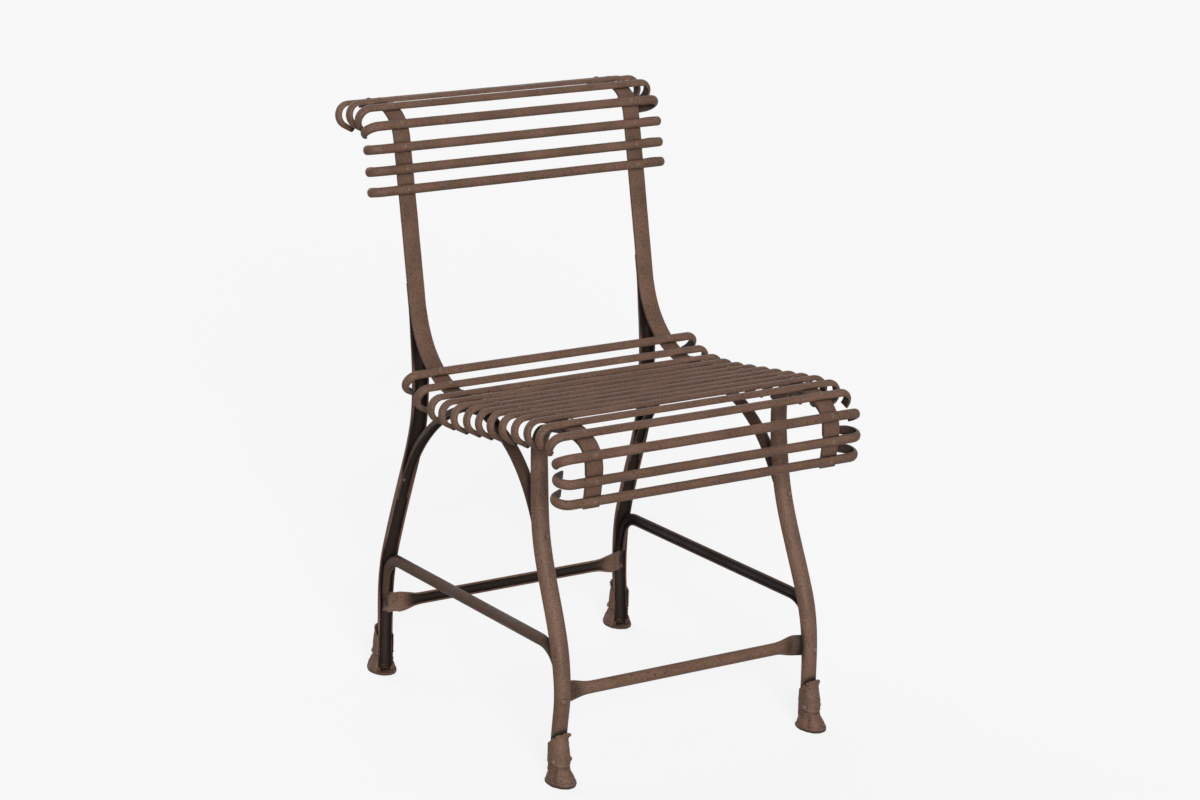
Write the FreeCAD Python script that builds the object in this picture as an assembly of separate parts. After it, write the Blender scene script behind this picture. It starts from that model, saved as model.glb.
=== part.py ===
"""Wrought iron garden chair, built as separate forged and riveted pieces.

Millimetres, +Z up, the sitter faces -Y. Two bent side bars carry 23 hooked slats. Four hollow
half-round legs stand on cast hooves and are tied by two arches and four stretchers.
Every shape is made about the middle plane x = 0 and moved in y at the end so that the chair
stands centred on the origin.
"""
import FreeCAD
import Part
import math
import os

V = FreeCAD.Vector
ACROSS = V(1, 0, 0)

# Side bars: flat strip bent in one plane, described by the face turned to the sitter
BAR_WIDTH = 24.6
BAR_THICK = 5.0
BAR_CENTRE_X = 181.2
BAR_START = (328.8, 781.3)
BAR_HEADING = 169.7
BAR_RUNS = [
    (44.5, 0.0),
    (74.4, 88.5),
    (213.2, 0.0),
    (29.8, -9.1),
    (137.1, -67.3),
    (74.0, -9.9),
    (175.9, 0.0),
    (56.9, 32.5),
    (50.3, 70.7),
    (46.5, 6.5),
]

# Slats: half-oval strips lying across both bars, ends hooked away from the sitter
SLAT_WIDTH = 13.1
SLAT_THICK = 6.8
SLAT_EDGE = 1.6
CHAIR_WIDTH = 465.6
HOOK_RADIUS = 19.4
HOOK_TURN = 150.0
HOOK_TAIL = 14.0
FIRST_SLAT = 7.4
BACK_GAPS = [30.4, 31.3, 30.8, 30.2, 28.9, 27.2]
BACK_TO_SEAT = 253.8
SEAT_GAPS = [30.4, 33.1, 27.6, 30.0, 31.7, 29.9, 29.1, 30.0, 29.1, 30.4, 31.5]
SEAT_TO_APRON = 27.3
APRON_GAPS = [32.8, 31.7, 27.4]

# Slats in the tight rolls have open hooks without a tail, so that neighbours clear each other
OPEN_HOOKS = {
    "back_slat_3": (138.0, 150.0),
    "back_slat_4": (138.0, 150.0),
    "apron_slat_1": (122.0, 122.0),
    "apron_slat_2": (138.0, 138.0),
}

# Small half-round channel used for arches and stretchers
ARCH_RADIUS = 8.8
STRETCHER_RADIUS = 8.5
SMALL_WALL = 2.5
LOFT_STEP = 18.0
TAB_LOFT_STEP = 7.0

# Legs: half-round channels with one bore, rows of (z, x, y, outer radius) along the lip plane.
# Rows below the floor only guide the run of the leg, which is cut off level at its foot.
LEG_BORE = 9.2
LEG_FOOT_Z = 9.0
FRONT_LEG_ROWS = [
    (-60.0, 197.9, -200.9, 11.2),
    (-28.0, 197.4, -202.0, 11.2),
    (5.0, 196.8, -203.3, 11.2),
    (38.0, 196.2, -204.8, 11.2),
    (80.0, 194.9, -206.8, 11.2),
    (110.0, 193.4, -208.0, 11.4),
    (140.0, 192.8, -205.4, 11.9),
    (170.0, 192.2, -198.6, 12.4),
    (200.0, 191.3, -187.6, 12.4),
    (230.0, 190.5, -174.3, 12.4),
    (260.0, 189.8, -160.8, 12.4),
    (290.0, 189.0, -148.8, 12.4),
    (320.0, 188.0, -140.2, 12.4),
    (350.0, 186.9, -135.2, 12.4),
    (380.0, 185.9, -132.0, 12.2),
    (410.0, 185.6, -130.0, 11.8),
]
REAR_LEG_ROWS = [
    (-60.0, 195.2, 242.6, 11.2),
    (-28.0, 194.7, 243.3, 11.2),
    (5.0, 194.2, 244.1, 11.2),
    (38.0, 193.6, 245.0, 11.2),
    (80.0, 192.4, 246.5, 11.2),
    (110.0, 192.0, 246.8, 11.4),
    (140.0, 191.4, 244.8, 11.9),
    (170.0, 190.6, 239.3, 12.3),
    (200.0, 189.7, 230.6, 12.3),
    (230.0, 188.9, 220.7, 12.3),
    (260.0, 188.2, 210.0, 12.3),
    (290.0, 187.4, 199.2, 12.3),
    (320.0, 186.0, 189.2, 12.3),
    (350.0, 184.0, 181.4, 12.3),
    (385.0, 181.8, 176.2, 12.3),
    (420.0, 181.4, 174.6, 12.3),
    (450.0, 181.2, 175.8, 12.3),
    (475.0, 181.2, 178.6, 12.2),
]
REAR_TONGUE_ROWS = [(498.0, 182.2, 11.4, 2.6), (520.0, 186.4, 9.2, 2.6)]
LIP_GAP = 0.3
TONGUE_HALF = 12.2
TONGUE_DEPTH = 3.4
LEG_BEND_RADIUS = 34.0
LEG_BEND_Y = -130.2
FRONT_TAPER_START = 775.0
FRONT_TONGUE_END = 858.0
REAR_TONGUE_STEPS = [332.0, 322.0, 310.0]
REAR_TONGUE_DEPTH = 1.6
REAR_TONGUE_WALL = 2.4

# Arches: one channel each side, nested in both legs and held under the seat by two slat rivets
ARCH_REAR = [(325.5, 186.6, 181.0), (354.5, 185.6, 158.7), (379.3, 184.2, 132.7), (408.5, 182.0, 88.0)]
ARCH_FRONT = [(419.8, 181.8, -20.0), (406.5, 183.4, -53.0), (380.0, 185.2, -91.0),
              (343.0, 186.6, -121.5), (308.0, 188.4, -141.5)]
ARCH_NEST_Z = [260.0, 290.0]
ARCH_CROWN_RADIUS = 150.0

# Stretchers
SIDE_STRETCHER_FRONT_Z = 175.5
SIDE_STRETCHER_REAR_Z = 170.5
SIDE_BEND_FRONT = 46.0
SIDE_BEND_REAR = 36.0
SIDE_TAB_FRONT = 131.0
SIDE_TAB_REAR = 117.0
FRONT_STRETCHER_Z = 115.0
REAR_STRETCHER_Z = 102.0
TAB_ANGLE = 22.0
TAB_BEND_X = 21.0
TAB_END_X = -5.0
TAB_HALF = 14.4
TAB_DEPTH = 3.5
TAB_CLEAR = 1.7

# Rivets: domed head, shank and peened tail
SHANK_RADIUS = 2.4
HOLE_RADIUS = 2.5
HEAD_RADIUS = 4.0
HEAD_RISE = 1.5
TAIL_RADIUS = 3.6
TAIL_RISE = 1.5
NEST_TAIL_RADIUS = 3.0
SEAT_CLEAR = 0.25
SLAT_SPOT = 1.2
LEG_SPOT = 0.75
BAR_SPOT = 0.3
NEST_SPOT = 1.0
ARCH_RIVET_Z = 308.0
REAR_ARCH_RIVET_Z = 285.0
ARCH_RIVET_TURN = 20.0
STRETCHER_RIVET_TURN = 14.0
STUB_DEPTH = 1.6

# Hooves: rows of (z, half width, half length, offset towards the toe from the leg)
FRONT_HOOF_ROWS = [
    (0.0, 17.8, 24.2, 12.2),
    (4.5, 18.6, 25.0, 12.0),
    (12.0, 17.4, 22.8, 10.8),
    (19.5, 15.6, 19.4, 9.0),
    (27.0, 13.6, 16.4, 7.4),
]
REAR_HOOF_ROWS = [
    (0.0, 18.0, 23.8, 9.0),
    (4.5, 18.9, 24.6, 9.0),
    (12.0, 17.4, 22.4, 8.4),
    (19.5, 15.6, 19.2, 7.6),
    (27.0, 13.6, 16.4, 6.6),
]
ANKLE_ROWS = [
    (27.0, 13.2, 16.4, 6.8),
    (34.0, 14.2, 17.6, 6.4),
    (42.0, 14.3, 17.2, 5.8),
    (51.0, 13.7, 16.2, 4.6),
    (60.0, 13.6, 15.5, 3.6),
    (69.0, 13.8, 15.0, 3.0),
]
SOCKET_CLEAR = 0.4
PLATE_THICK = 5.0
LIP_COVER = 1.0
COLLAR_LIP_Z = 54.0
COLLAR_SLOPE = 0.75
TUFT_ANGLES = [-80.0, -48.0, -16.0, 16.0, 48.0, 80.0]
TUFT_HALF = 2.6
TUFT_DEPTH = 6.0
KNOB_RADIUS = 4.4
KNOB_Z = 31.0
KNOB_ANGLE = 50.0
KNOB_REACH = 13.4


def advance(y, z, heading, length, turn):
    """Move along a straight run or an arc in the side view; angles in degrees."""
    h = math.radians(heading)
    if abs(turn) < 1e-9:
        return y + length * math.cos(h), z + length * math.sin(h), heading
    a = math.radians(turn)
    r = length / a
    y += r * (math.sin(h + a) - math.sin(h))
    z -= r * (math.cos(h + a) - math.cos(h))
    return y, z, heading + turn


def away(y, z, heading, depth):
    """Shift a side-view point to the side turned away from the sitter."""
    h = math.radians(heading)
    return y - depth * math.sin(h), z + depth * math.cos(h)


def bar_state(s, depth=0.0):
    """Point at run length s along the bar and depth behind its face, with the heading."""
    y, z = BAR_START
    heading = BAR_HEADING
    left = s
    for length, turn in BAR_RUNS:
        step = min(left, length)
        y, z, heading = advance(y, z, heading, step, turn * step / length)
        left -= step
        if left <= 0:
            break
    y, z = away(y, z, heading, depth)
    return y, z, heading


def slat_lift(s):
    """Height a flat slat needs to lie on a hollow bend without cutting into it."""
    lift = 0.0
    start = 0.0
    half = SLAT_WIDTH / 2
    for length, turn in BAR_RUNS:
        if turn < 0 and start - half < s < start + length + half:
            r = length / math.radians(-turn)
            lift = max(lift, r - math.sqrt(r * r - half * half))
        start += length
    return lift


def bar_frame(s):
    """Placement with local z out of the sitter's face and local x across the chair."""
    y, z, heading = bar_state(s)
    return FreeCAD.Placement(V(0, y, z), FreeCAD.Rotation(ACROSS, heading - 180))


def make_bar(centre_x):
    """Bent flat strip, both faces offset from one chain of runs."""
    front = []
    back = []
    y, z = BAR_START
    heading = BAR_HEADING
    for length, turn in BAR_RUNS:
        mid = advance(y, z, heading, length / 2, turn / 2)
        end = advance(y, z, heading, length, turn)
        for edges, depth in ((front, 0.0), (back, BAR_THICK)):
            pts = []
            for py, pz, ph in ((y, z, heading), mid, end):
                qy, qz = away(py, pz, ph, depth)
                pts.append(V(0, qy, qz))
            if turn:
                edges.append(Part.Arc(*pts).toShape())
            else:
                edges.append(Part.makeLine(pts[0], pts[2]))
        y, z, heading = end
    ends = []
    for index in (0, -1):
        at = index
        ends.append(Part.makeLine(front[at].Vertexes[at].Point, back[at].Vertexes[at].Point))
    outline = Part.Wire(Part.__sortEdges__(front + back + ends))
    bar = Part.Face(outline).extrude(V(BAR_WIDTH, 0, 0))
    bar.translate(V(centre_x - BAR_WIDTH / 2, 0, 0))
    return bar


def slat_section(x):
    """Half-oval outline in the plane x with its flat side at z = 0."""
    half = SLAT_WIDTH / 2
    a = V(x, -half, 0)
    b = V(x, half, 0)
    c = V(x, half, SLAT_EDGE)
    top = V(x, 0, SLAT_THICK)
    d = V(x, -half, SLAT_EDGE)
    edges = [Part.makeLine(a, b), Part.makeLine(b, c), Part.Arc(c, top, d).toShape(), Part.makeLine(d, a)]
    return Part.Face(Part.Wire(edges))


def make_slat(turns):
    """Straight strip with both ends hooked down, in the bar frame; a full hook has a straight tip."""
    reach = CHAIR_WIDTH / 2 - HOOK_RADIUS
    pieces = [slat_section(-reach).extrude(V(2 * reach, 0, 0))]
    for side, hook_turn in zip((-1, 1), turns):
        pivot = V(side * reach, 0, SLAT_THICK - HOOK_RADIUS)
        axis = V(0, side, 0)
        root = slat_section(side * reach)
        pieces.append(root.revolve(pivot, axis, hook_turn))
        if hook_turn == HOOK_TURN:
            tip = slat_section(side * reach)
            tip.rotate(pivot, axis, hook_turn)
            a = math.radians(hook_turn)
            pieces.append(tip.extrude(V(side * math.cos(a), 0, -math.sin(a)) * HOOK_TAIL))
    return pieces[0].fuse(pieces[1:]).removeSplitter()


def make_rivet(grip, tail_radius, tail_rise, head_drop):
    """Rivet along z: head seat at z = 0, tail seat at z = -grip. No tail if its radius is 0."""
    rise = HEAD_RISE + head_drop
    rim = 0.35
    dome = (HEAD_RADIUS ** 2 - (rise - rim) ** 2) / (2 * (rise - rim))
    big = dome + rise - rim
    a = math.asin(HEAD_RADIUS / big) / 2
    top = V(0, 0, rise)
    mid = V(big * math.sin(a), 0, rise - big * (1 - math.cos(a)))
    edge = V(HEAD_RADIUS, 0, rim)
    edges = [Part.Arc(top, mid, edge).toShape()]
    pts = [edge, V(HEAD_RADIUS, 0, 0), V(SHANK_RADIUS, 0, 0), V(SHANK_RADIUS, 0, -grip)]
    last = V(0, 0, -grip)
    if tail_radius:
        pts.append(V(tail_radius, 0, -grip))
        low = tail_rise
        back = (tail_radius ** 2 + low ** 2) / (2 * low)
        b = math.asin(tail_radius / back) / 2
        last = V(0, 0, -grip - low)
        bend = V(back * math.sin(b), 0, -grip - low + back * (1 - math.cos(b)))
        edges.append(Part.Arc(pts[-1], bend, last).toShape())
    else:
        pts.append(last)
    for p, q in zip(pts, pts[1:]):
        edges.append(Part.makeLine(p, q))
    edges.append(Part.makeLine(last, top))
    wire = Part.Wire(Part.__sortEdges__(edges))
    return Part.Face(wire).revolve(V(0, 0, 0), V(0, 0, 1), 360)


def aim(shape, origin, direction):
    """Copy a shape built along z so that it stands at origin along direction."""
    out = shape.copy()
    out.Placement = FreeCAD.Placement(origin, FreeCAD.Rotation(V(0, 0, 1), direction))
    return out


def bore(origin, direction, low, high, radius=HOLE_RADIUS):
    """Cutter along direction from low to high."""
    return Part.makeCylinder(radius, high - low, origin + direction * low, direction)


def channel_wire(origin, across, crown, half, depth, wall):
    """Closed outline of a half-round channel with its lips in the plane through origin."""
    inner = half - wall
    hollow = max(depth - wall, 0.5)
    a = origin - across * half
    b = origin + crown * depth
    c = origin + across * half
    d = origin + across * inner
    e = origin + crown * hollow
    f = origin - across * inner
    outer = Part.Arc(a, b, c).toShape()
    inner = Part.Arc(d, e, f).toShape()
    return Part.Wire([outer, Part.makeLine(c, d), inner, Part.makeLine(f, a)])


def even_stations(stations, step):
    """Evenly spaced (point, tangent, sizes...) on the smooth line through the given stations."""
    curve = Part.BSplineCurve()
    curve.interpolate([row[0] for row in stations])
    start = curve.FirstParameter
    marks = [curve.length(start, curve.parameter(row[0])) for row in stations]
    count = math.ceil(marks[-1] / step)
    out = []
    k = 0
    for i in range(count + 1):
        at = marks[-1] * i / count
        while k < len(marks) - 2 and at > marks[k + 1]:
            k += 1
        part = (at - marks[k]) / (marks[k + 1] - marks[k])
        sizes = [p + (q - p) * part for p, q in zip(stations[k][1:], stations[k + 1][1:])]
        t = curve.parameterAtDistance(at, start)
        out.append([curve.value(t), curve.tangent(t)[0]] + sizes)
    return out


def loft_channel(stations, crown_side, width_dir=ACROSS, step=LOFT_STEP):
    """Smooth channel through stations of (point, half width, depth, wall).

    crown_side is +1 when the crown points to tangent x width, -1 for the other way.
    """
    wires = []
    for point, tangent, half, depth, wall in even_stations(stations, step):
        across = width_dir - tangent * width_dir.dot(tangent)
        across.normalize()
        crown = tangent.cross(across) * crown_side
        wires.append(channel_wire(point, across, crown, half, depth, wall))
    return Part.makeLoft(wires, True, False)


def leg_rows(rows, side):
    """Loft stations of the free part of a leg."""
    return [(V(side * x, y, z), r, r, r - LEG_BORE) for z, x, y, r in rows]


def below_foot():
    """Cutter that ends the legs level on the base plates of the feet."""
    return Part.makeBox(600, 800, 100 + LEG_FOOT_Z, V(-300, -400, -100))


def front_leg(side):
    """Leg with its top bent forward under the seat bar and thinned out inside the roll."""
    stations = leg_rows(FRONT_LEG_ROWS, side)
    under = BAR_THICK + LIP_GAP
    probe = 650.0
    py, pz, heading = bar_state(probe, under)
    h = math.radians(heading)
    centre_y = LEG_BEND_Y - LEG_BEND_RADIUS
    touch_y = centre_y + LEG_BEND_RADIUS * math.sin(h)
    start = probe + (touch_y - py) / math.cos(h)
    ty, tz, heading = bar_state(start, under)
    centre_z = tz + LEG_BEND_RADIUS * math.cos(h)
    leg_x = FRONT_LEG_ROWS[-1][1]
    top_radius = FRONT_LEG_ROWS[-1][3]
    full = top_radius - 0.3
    wall = top_radius - LEG_BORE
    steps = 4
    for i in range(steps):
        a = math.radians(90 + (heading - 90) * i / steps)
        y = centre_y + LEG_BEND_RADIUS * math.sin(a)
        z = centre_z - LEG_BEND_RADIUS * math.cos(a)
        x = leg_x + (BAR_CENTRE_X - leg_x) * 0.6 * i / steps
        stations.append((V(side * x, y, z), top_radius, full, wall))
    count = 10
    for i in range(count):
        part = i / (count - 1)
        s = start + (FRONT_TONGUE_END - start) * part
        y, z, _ = bar_state(s, under)
        thin = max(0.0, (s - FRONT_TAPER_START) / (FRONT_TONGUE_END - FRONT_TAPER_START))
        x = leg_x + (BAR_CENTRE_X - leg_x) * min(1.0, 0.6 + 1.6 * part)
        half = top_radius + (TONGUE_HALF - top_radius) * part
        stations.append((V(side * x, y, z), half, full + (TONGUE_DEPTH - full) * thin, wall))
    return loft_channel(stations, -1).cut(below_foot())


def rear_leg(side):
    """Leg that runs up behind the back and thins out against the side bar."""
    stations = leg_rows(REAR_LEG_ROWS, side)
    for z, y, depth, wall in REAR_TONGUE_ROWS:
        stations.append((V(side * BAR_CENTRE_X, y, z), TONGUE_HALF, depth, wall))
    last = REAR_TONGUE_ROWS[-1][2]
    for i, s in enumerate(REAR_TONGUE_STEPS):
        part = (i + 1) / len(REAR_TONGUE_STEPS)
        y, z, _ = bar_state(s, BAR_THICK + LIP_GAP)
        depth = last + (REAR_TONGUE_DEPTH - last) * part
        stations.append((V(side * BAR_CENTRE_X, y, z), TONGUE_HALF, depth, REAR_TONGUE_WALL))
    return loft_channel(stations, 1).cut(below_foot())


def row_at(rows, z):
    """Row of a leg table at a listed height."""
    return [row for row in rows if row[0] == z][0]


def arch_stations(side):
    """Path of an arch from inside the rear leg over the crown into the front leg."""
    out = []
    for z in ARCH_NEST_Z:
        _, x, y, _ = row_at(REAR_LEG_ROWS, z)
        out.append(V(side * x, y, z))
    for z, x, y in ARCH_REAR:
        out.append(V(side * x, y, z))
    for s, sink in arch_crown():
        y, z, _ = bar_state(s, BAR_THICK + LIP_GAP + sink + ARCH_RADIUS)
        out.append(V(side * BAR_CENTRE_X, y, z))
    for z, x, y in ARCH_FRONT:
        out.append(V(side * x, y, z))
    for z in reversed(ARCH_NEST_Z):
        _, x, y, _ = row_at(FRONT_LEG_ROWS, z)
        out.append(V(side * x, y, z))
    return [(p, ARCH_RADIUS, ARCH_RADIUS, SMALL_WALL) for p in out]


def arch_crown():
    """Bar stations at the crown of the arch with the drop of the arch below the bar."""
    first = SEAT_STATIONS[3]
    last = SEAT_STATIONS[4]
    half = (last - first) / 2
    drop = half * half / (2 * ARCH_CROWN_RADIUS)
    return [(first, drop), ((first + last) / 2, 0.0), (last, drop)]


def side_stretcher(side):
    """Channel opening to the middle of the chair, both ends turned down into the legs."""
    _, fx, fy, _ = row_at(FRONT_LEG_ROWS, 140.0)
    _, rx, ry, _ = row_at(REAR_LEG_ROWS, 140.0)
    rise_front = row_at(FRONT_LEG_ROWS, 170.0)
    rise_rear = row_at(REAR_LEG_ROWS, 170.0)
    lean_front = math.degrees(math.atan2(30.0, rise_front[2] - fy))
    lean_rear = math.degrees(math.atan2(30.0, ry - rise_rear[2]))
    ends = []
    corners = (
        (SIDE_STRETCHER_FRONT_Z, lean_front, fy, 1, SIDE_BEND_FRONT),
        (SIDE_STRETCHER_REAR_Z, lean_rear, ry, -1, SIDE_BEND_REAR),
    )
    for z_mid, lean, y_mid, way, r in corners:
        a = math.radians(lean)
        top = z_mid - r + r * math.cos(a)
        bend_y = y_mid + way * (top - 140.0) / math.tan(a)
        ends.append((top, bend_y + way * r * math.sin(a), z_mid))
    front_low_y = fy + (SIDE_TAB_FRONT - 140.0) / math.tan(math.radians(lean_front))
    front_tab = (ends[0][0] - SIDE_TAB_FRONT) / math.sin(math.radians(lean_front))
    rear_tab = (ends[1][0] - SIDE_TAB_REAR) / math.sin(math.radians(lean_rear))
    span_y = ends[1][1] - ends[0][1]
    span_z = ends[1][2] - ends[0][2]
    tilt = math.degrees(math.atan2(span_z, span_y))
    runs = [
        (front_tab, 0.0),
        (math.radians(lean_front - tilt) * SIDE_BEND_FRONT, tilt - lean_front),
        (math.hypot(span_y, span_z), 0.0),
        (math.radians(lean_rear + tilt) * SIDE_BEND_REAR, -lean_rear - tilt),
        (rear_tab, 0.0),
    ]
    y, z, heading = front_low_y, SIDE_TAB_FRONT, lean_front
    solids = []
    for length, turn in runs:
        h = math.radians(heading)
        tangent = V(0, math.cos(h), math.sin(h))
        across = V(0, -math.sin(h), math.cos(h))
        here = V(0, y, z)
        section = channel_wire(here, across, V(side, 0, 0), STRETCHER_RADIUS, STRETCHER_RADIUS, SMALL_WALL)
        face = Part.Face(section)
        if turn:
            pivot = here - across * (length / math.radians(-turn))
            solids.append(face.revolve(pivot, V(-1, 0, 0), -turn))
        else:
            solids.append(face.extrude(tangent * length))
        y, z, heading = advance(y, z, heading, length, turn)
    shape = solids[0].fuse(solids[1:]).removeSplitter()
    yaw = math.degrees(math.atan2(side * (fx - rx), ry - fy))
    shape.rotate(V(0, fy, 0), V(0, 0, 1), yaw)
    shape.translate(V(side * fx, 0, 0))
    return shape


def cross_stretcher(rows, level, crown):
    """Channel between two legs with flattened ends that dip into the hollow of each leg.

    crown is -1 for the front pair of legs and +1 for the rear pair.
    """
    low = [row for row in rows if row[0] <= level][-1]
    high = [row for row in rows if row[0] > level][0]
    part = (level - low[0]) / (high[0] - low[0])
    leg_x = low[1] + (high[1] - low[1]) * part
    leg_y = low[2] + (high[2] - low[2]) * part
    slope = math.tan(math.radians(TAB_ANGLE))
    lean = math.cos(math.radians(TAB_ANGLE / 2))
    plane = TAB_CLEAR + (TAB_BEND_X - LEG_BORE) * slope + TAB_DEPTH / lean
    half = []
    for reach in (TAB_END_X, 4.0, 13.0, TAB_BEND_X - 2.0):
        half.append((reach, plane - (TAB_BEND_X - reach) * slope, TAB_HALF, TAB_DEPTH))
    half.append((TAB_BEND_X + 3.0, plane, TAB_HALF - 0.6, TAB_DEPTH + 0.6))
    half.append((TAB_BEND_X + 12.0, plane, TAB_HALF - 3.0, TAB_DEPTH + 2.6))
    half.append((TAB_BEND_X + 23.0, plane, STRETCHER_RADIUS + 0.4, STRETCHER_RADIUS - 0.4))
    for reach in (TAB_BEND_X + 33.0, TAB_BEND_X + 47.0, TAB_BEND_X + 75.0, TAB_BEND_X + 115.0):
        half.append((reach, plane, STRETCHER_RADIUS, STRETCHER_RADIUS))
    stations = []
    for reach, offset, wide, deep in half:
        stations.append((V(reach - leg_x, leg_y - crown * offset, level), wide, deep, SMALL_WALL))
    for reach, offset, wide, deep in reversed(half):
        stations.append((V(leg_x - reach, leg_y - crown * offset, level), wide, deep, SMALL_WALL))
    return loft_channel(stations, crown, V(0, 0, -1), TAB_LOFT_STEP)


def ellipse_wire(x, y, z, half_x, half_y):
    """Horizontal oval outline."""
    if half_x > half_y:
        oval = Part.Ellipse(V(x + half_x, y, z), V(x, y + half_y, z), V(x, y, z))
    else:
        oval = Part.Ellipse(V(x, y + half_y, z), V(x - half_x, y, z), V(x, y, z))
    return Part.Wire([oval.toShape()])


def oval_loft(rows, x, y, toe):
    """Smooth body through the rows of a foot table."""
    wires = []
    for z, half_x, half_y, offset in rows:
        wires.append(ellipse_wire(x, y + toe * offset, z, half_x, half_y))
    return Part.makeLoft(wires, True, False)


def make_hoof(side, leg, rows, toe):
    """Cast foot: base plate, hoof and ankle wrapped round the crown side of the leg, ragged collar."""
    _, foot_x, y, _ = row_at(leg, 5.0)
    x = side * foot_x
    shell = [oval_loft(ANKLE_ROWS, x, y, toe)]
    for turn in (-KNOB_ANGLE, KNOB_ANGLE):
        a = math.radians(turn)
        centre = V(x + KNOB_REACH * math.sin(a), y + toe * (6.0 + KNOB_REACH * math.cos(a)), KNOB_Z)
        shell.append(Part.makeSphere(KNOB_RADIUS, centre))
    body = oval_loft(rows, x, y, toe).fuse(shell)
    circles = []
    for point, tangent, radius, _, _ in even_stations(leg_rows(leg, side), LOFT_STEP)[:12]:
        circles.append(Part.Wire([Part.makeCircle(radius + SOCKET_CLEAR, point, tangent)]))
    socket = Part.makeLoft(circles, True, False).cut(below_foot())
    back_y = y - toe * LIP_COVER
    open_side = Part.makeBox(80, 60, 90, V(x - 40, back_y if toe < 0 else back_y - 60, PLATE_THICK))
    low = COLLAR_LIP_Z - 40.0 * COLLAR_SLOPE
    high = COLLAR_LIP_Z + 50.0 * COLLAR_SLOPE
    corners = []
    for reach, height in ((-40.0, low), (50.0, high), (50.0, 140.0), (-40.0, 140.0)):
        corners.append(V(x - 40, y + toe * reach, height))
    collar_cut = Part.Face(Part.makePolygon(corners + corners[:1])).extrude(V(80, 0, 0))
    cutters = [socket, open_side, collar_cut]
    for turn in TUFT_ANGLES:
        a = math.radians(turn)
        top = COLLAR_LIP_Z + COLLAR_SLOPE * (3.0 + 15.0 * math.cos(a))
        corners = [V(-TUFT_HALF, 0, top + 4), V(TUFT_HALF, 0, top + 4), V(0.8, 0, top - TUFT_DEPTH)]
        wedge = Part.Face(Part.makePolygon(corners + corners[:1])).extrude(V(0, toe * 40, 0))
        wedge.rotate(V(0, 0, 0), V(0, 0, 1), -toe * turn)
        wedge.translate(V(x, y + toe * 3.0, 0))
        cutters.append(wedge)
    return body.cut(cutters).removeSplitter()


def stations_from(first, gaps):
    """Run lengths of neighbouring slats."""
    out = [first]
    for gap in gaps:
        out.append(out[-1] + gap)
    return out


BACK_STATIONS = stations_from(FIRST_SLAT, BACK_GAPS)
SEAT_STATIONS = stations_from(BACK_STATIONS[-1] + BACK_TO_SEAT, SEAT_GAPS)
APRON_STATIONS = stations_from(SEAT_STATIONS[-1] + SEAT_TO_APRON, APRON_GAPS)
SIDES = {"left": -1, "right": 1}

# Bars, legs, arches, stretchers and hooves before drilling
parts = {}
for name, side in SIDES.items():
    parts["side_bar_" + name] = make_bar(side * BAR_CENTRE_X)
    parts["front_leg_" + name] = front_leg(side)
    parts["rear_leg_" + name] = rear_leg(side)
    parts["seat_arch_" + name] = loft_channel(arch_stations(side), 1)
    parts["side_stretcher_" + name] = side_stretcher(side)
    parts["front_hoof_" + name] = make_hoof(side, FRONT_LEG_ROWS, FRONT_HOOF_ROWS, -1)
    parts["rear_hoof_" + name] = make_hoof(side, REAR_LEG_ROWS, REAR_HOOF_ROWS, 1)
parts["front_stretcher"] = cross_stretcher(FRONT_LEG_ROWS, FRONT_STRETCHER_Z, -1)
parts["rear_stretcher"] = cross_stretcher(REAR_LEG_ROWS, REAR_STRETCHER_Z, 1)

# Slats with their rivets; the rivets of two seat slats hold the arches, one pair holds the legs
arch_drops = {arch_crown()[0][0]: arch_crown()[0][1], arch_crown()[2][0]: arch_crown()[2][1]}
cuts = {key: [] for key in parts}
groups = {"back": BACK_STATIONS, "seat": SEAT_STATIONS, "apron": APRON_STATIONS}
rivets = {}
for group, stations in groups.items():
    rivets[group + "_slat_rivets"] = []
    for index, s in enumerate(stations):
        key = "%s_slat_%d" % (group, index + 1)
        frame = bar_frame(s)
        up = frame.Rotation.multVec(V(0, 0, 1))
        lift = slat_lift(s)
        slat = make_slat(OPEN_HOOKS.get(key, (HOOK_TURN, HOOK_TURN)))
        slat.translate(V(0, 0, lift))
        slat.Placement = frame.multiply(slat.Placement)
        seat_level = lift + SLAT_THICK - SLAT_SPOT
        holes = []
        for name, side in SIDES.items():
            root = frame.multVec(V(side * BAR_CENTRE_X, 0, 0))
            tail_level = -BAR_THICK + BAR_SPOT
            tail_radius = TAIL_RADIUS
            if s in arch_drops:
                tail_radius = NEST_TAIL_RADIUS
                tail_level = -(BAR_THICK + LIP_GAP + arch_drops[s] + SMALL_WALL - NEST_SPOT)
                arch_cut = bore(root, up, -30.0, tail_level, tail_radius + SEAT_CLEAR)
                cuts["seat_arch_" + name] += [bore(root, up, -30.0, 0.0), arch_cut]
            holes.append(bore(root, up, -1.0, 20.0))
            holes.append(bore(root, up, seat_level, 20.0, HEAD_RADIUS + SEAT_CLEAR))
            cuts["side_bar_" + name].append(bore(root, up, -20.0, 20.0))
            if s not in arch_drops:
                spot = bore(root, up, -BAR_THICK - 6.0, tail_level, tail_radius + SEAT_CLEAR)
                cuts["side_bar_" + name].append(spot)
            rivet = make_rivet(seat_level - tail_level, tail_radius, TAIL_RISE, SLAT_SPOT)
            rivets[group + "_slat_rivets"].append(aim(rivet, root + up * seat_level, up))
        parts[key] = slat.cut(holes)

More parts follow.
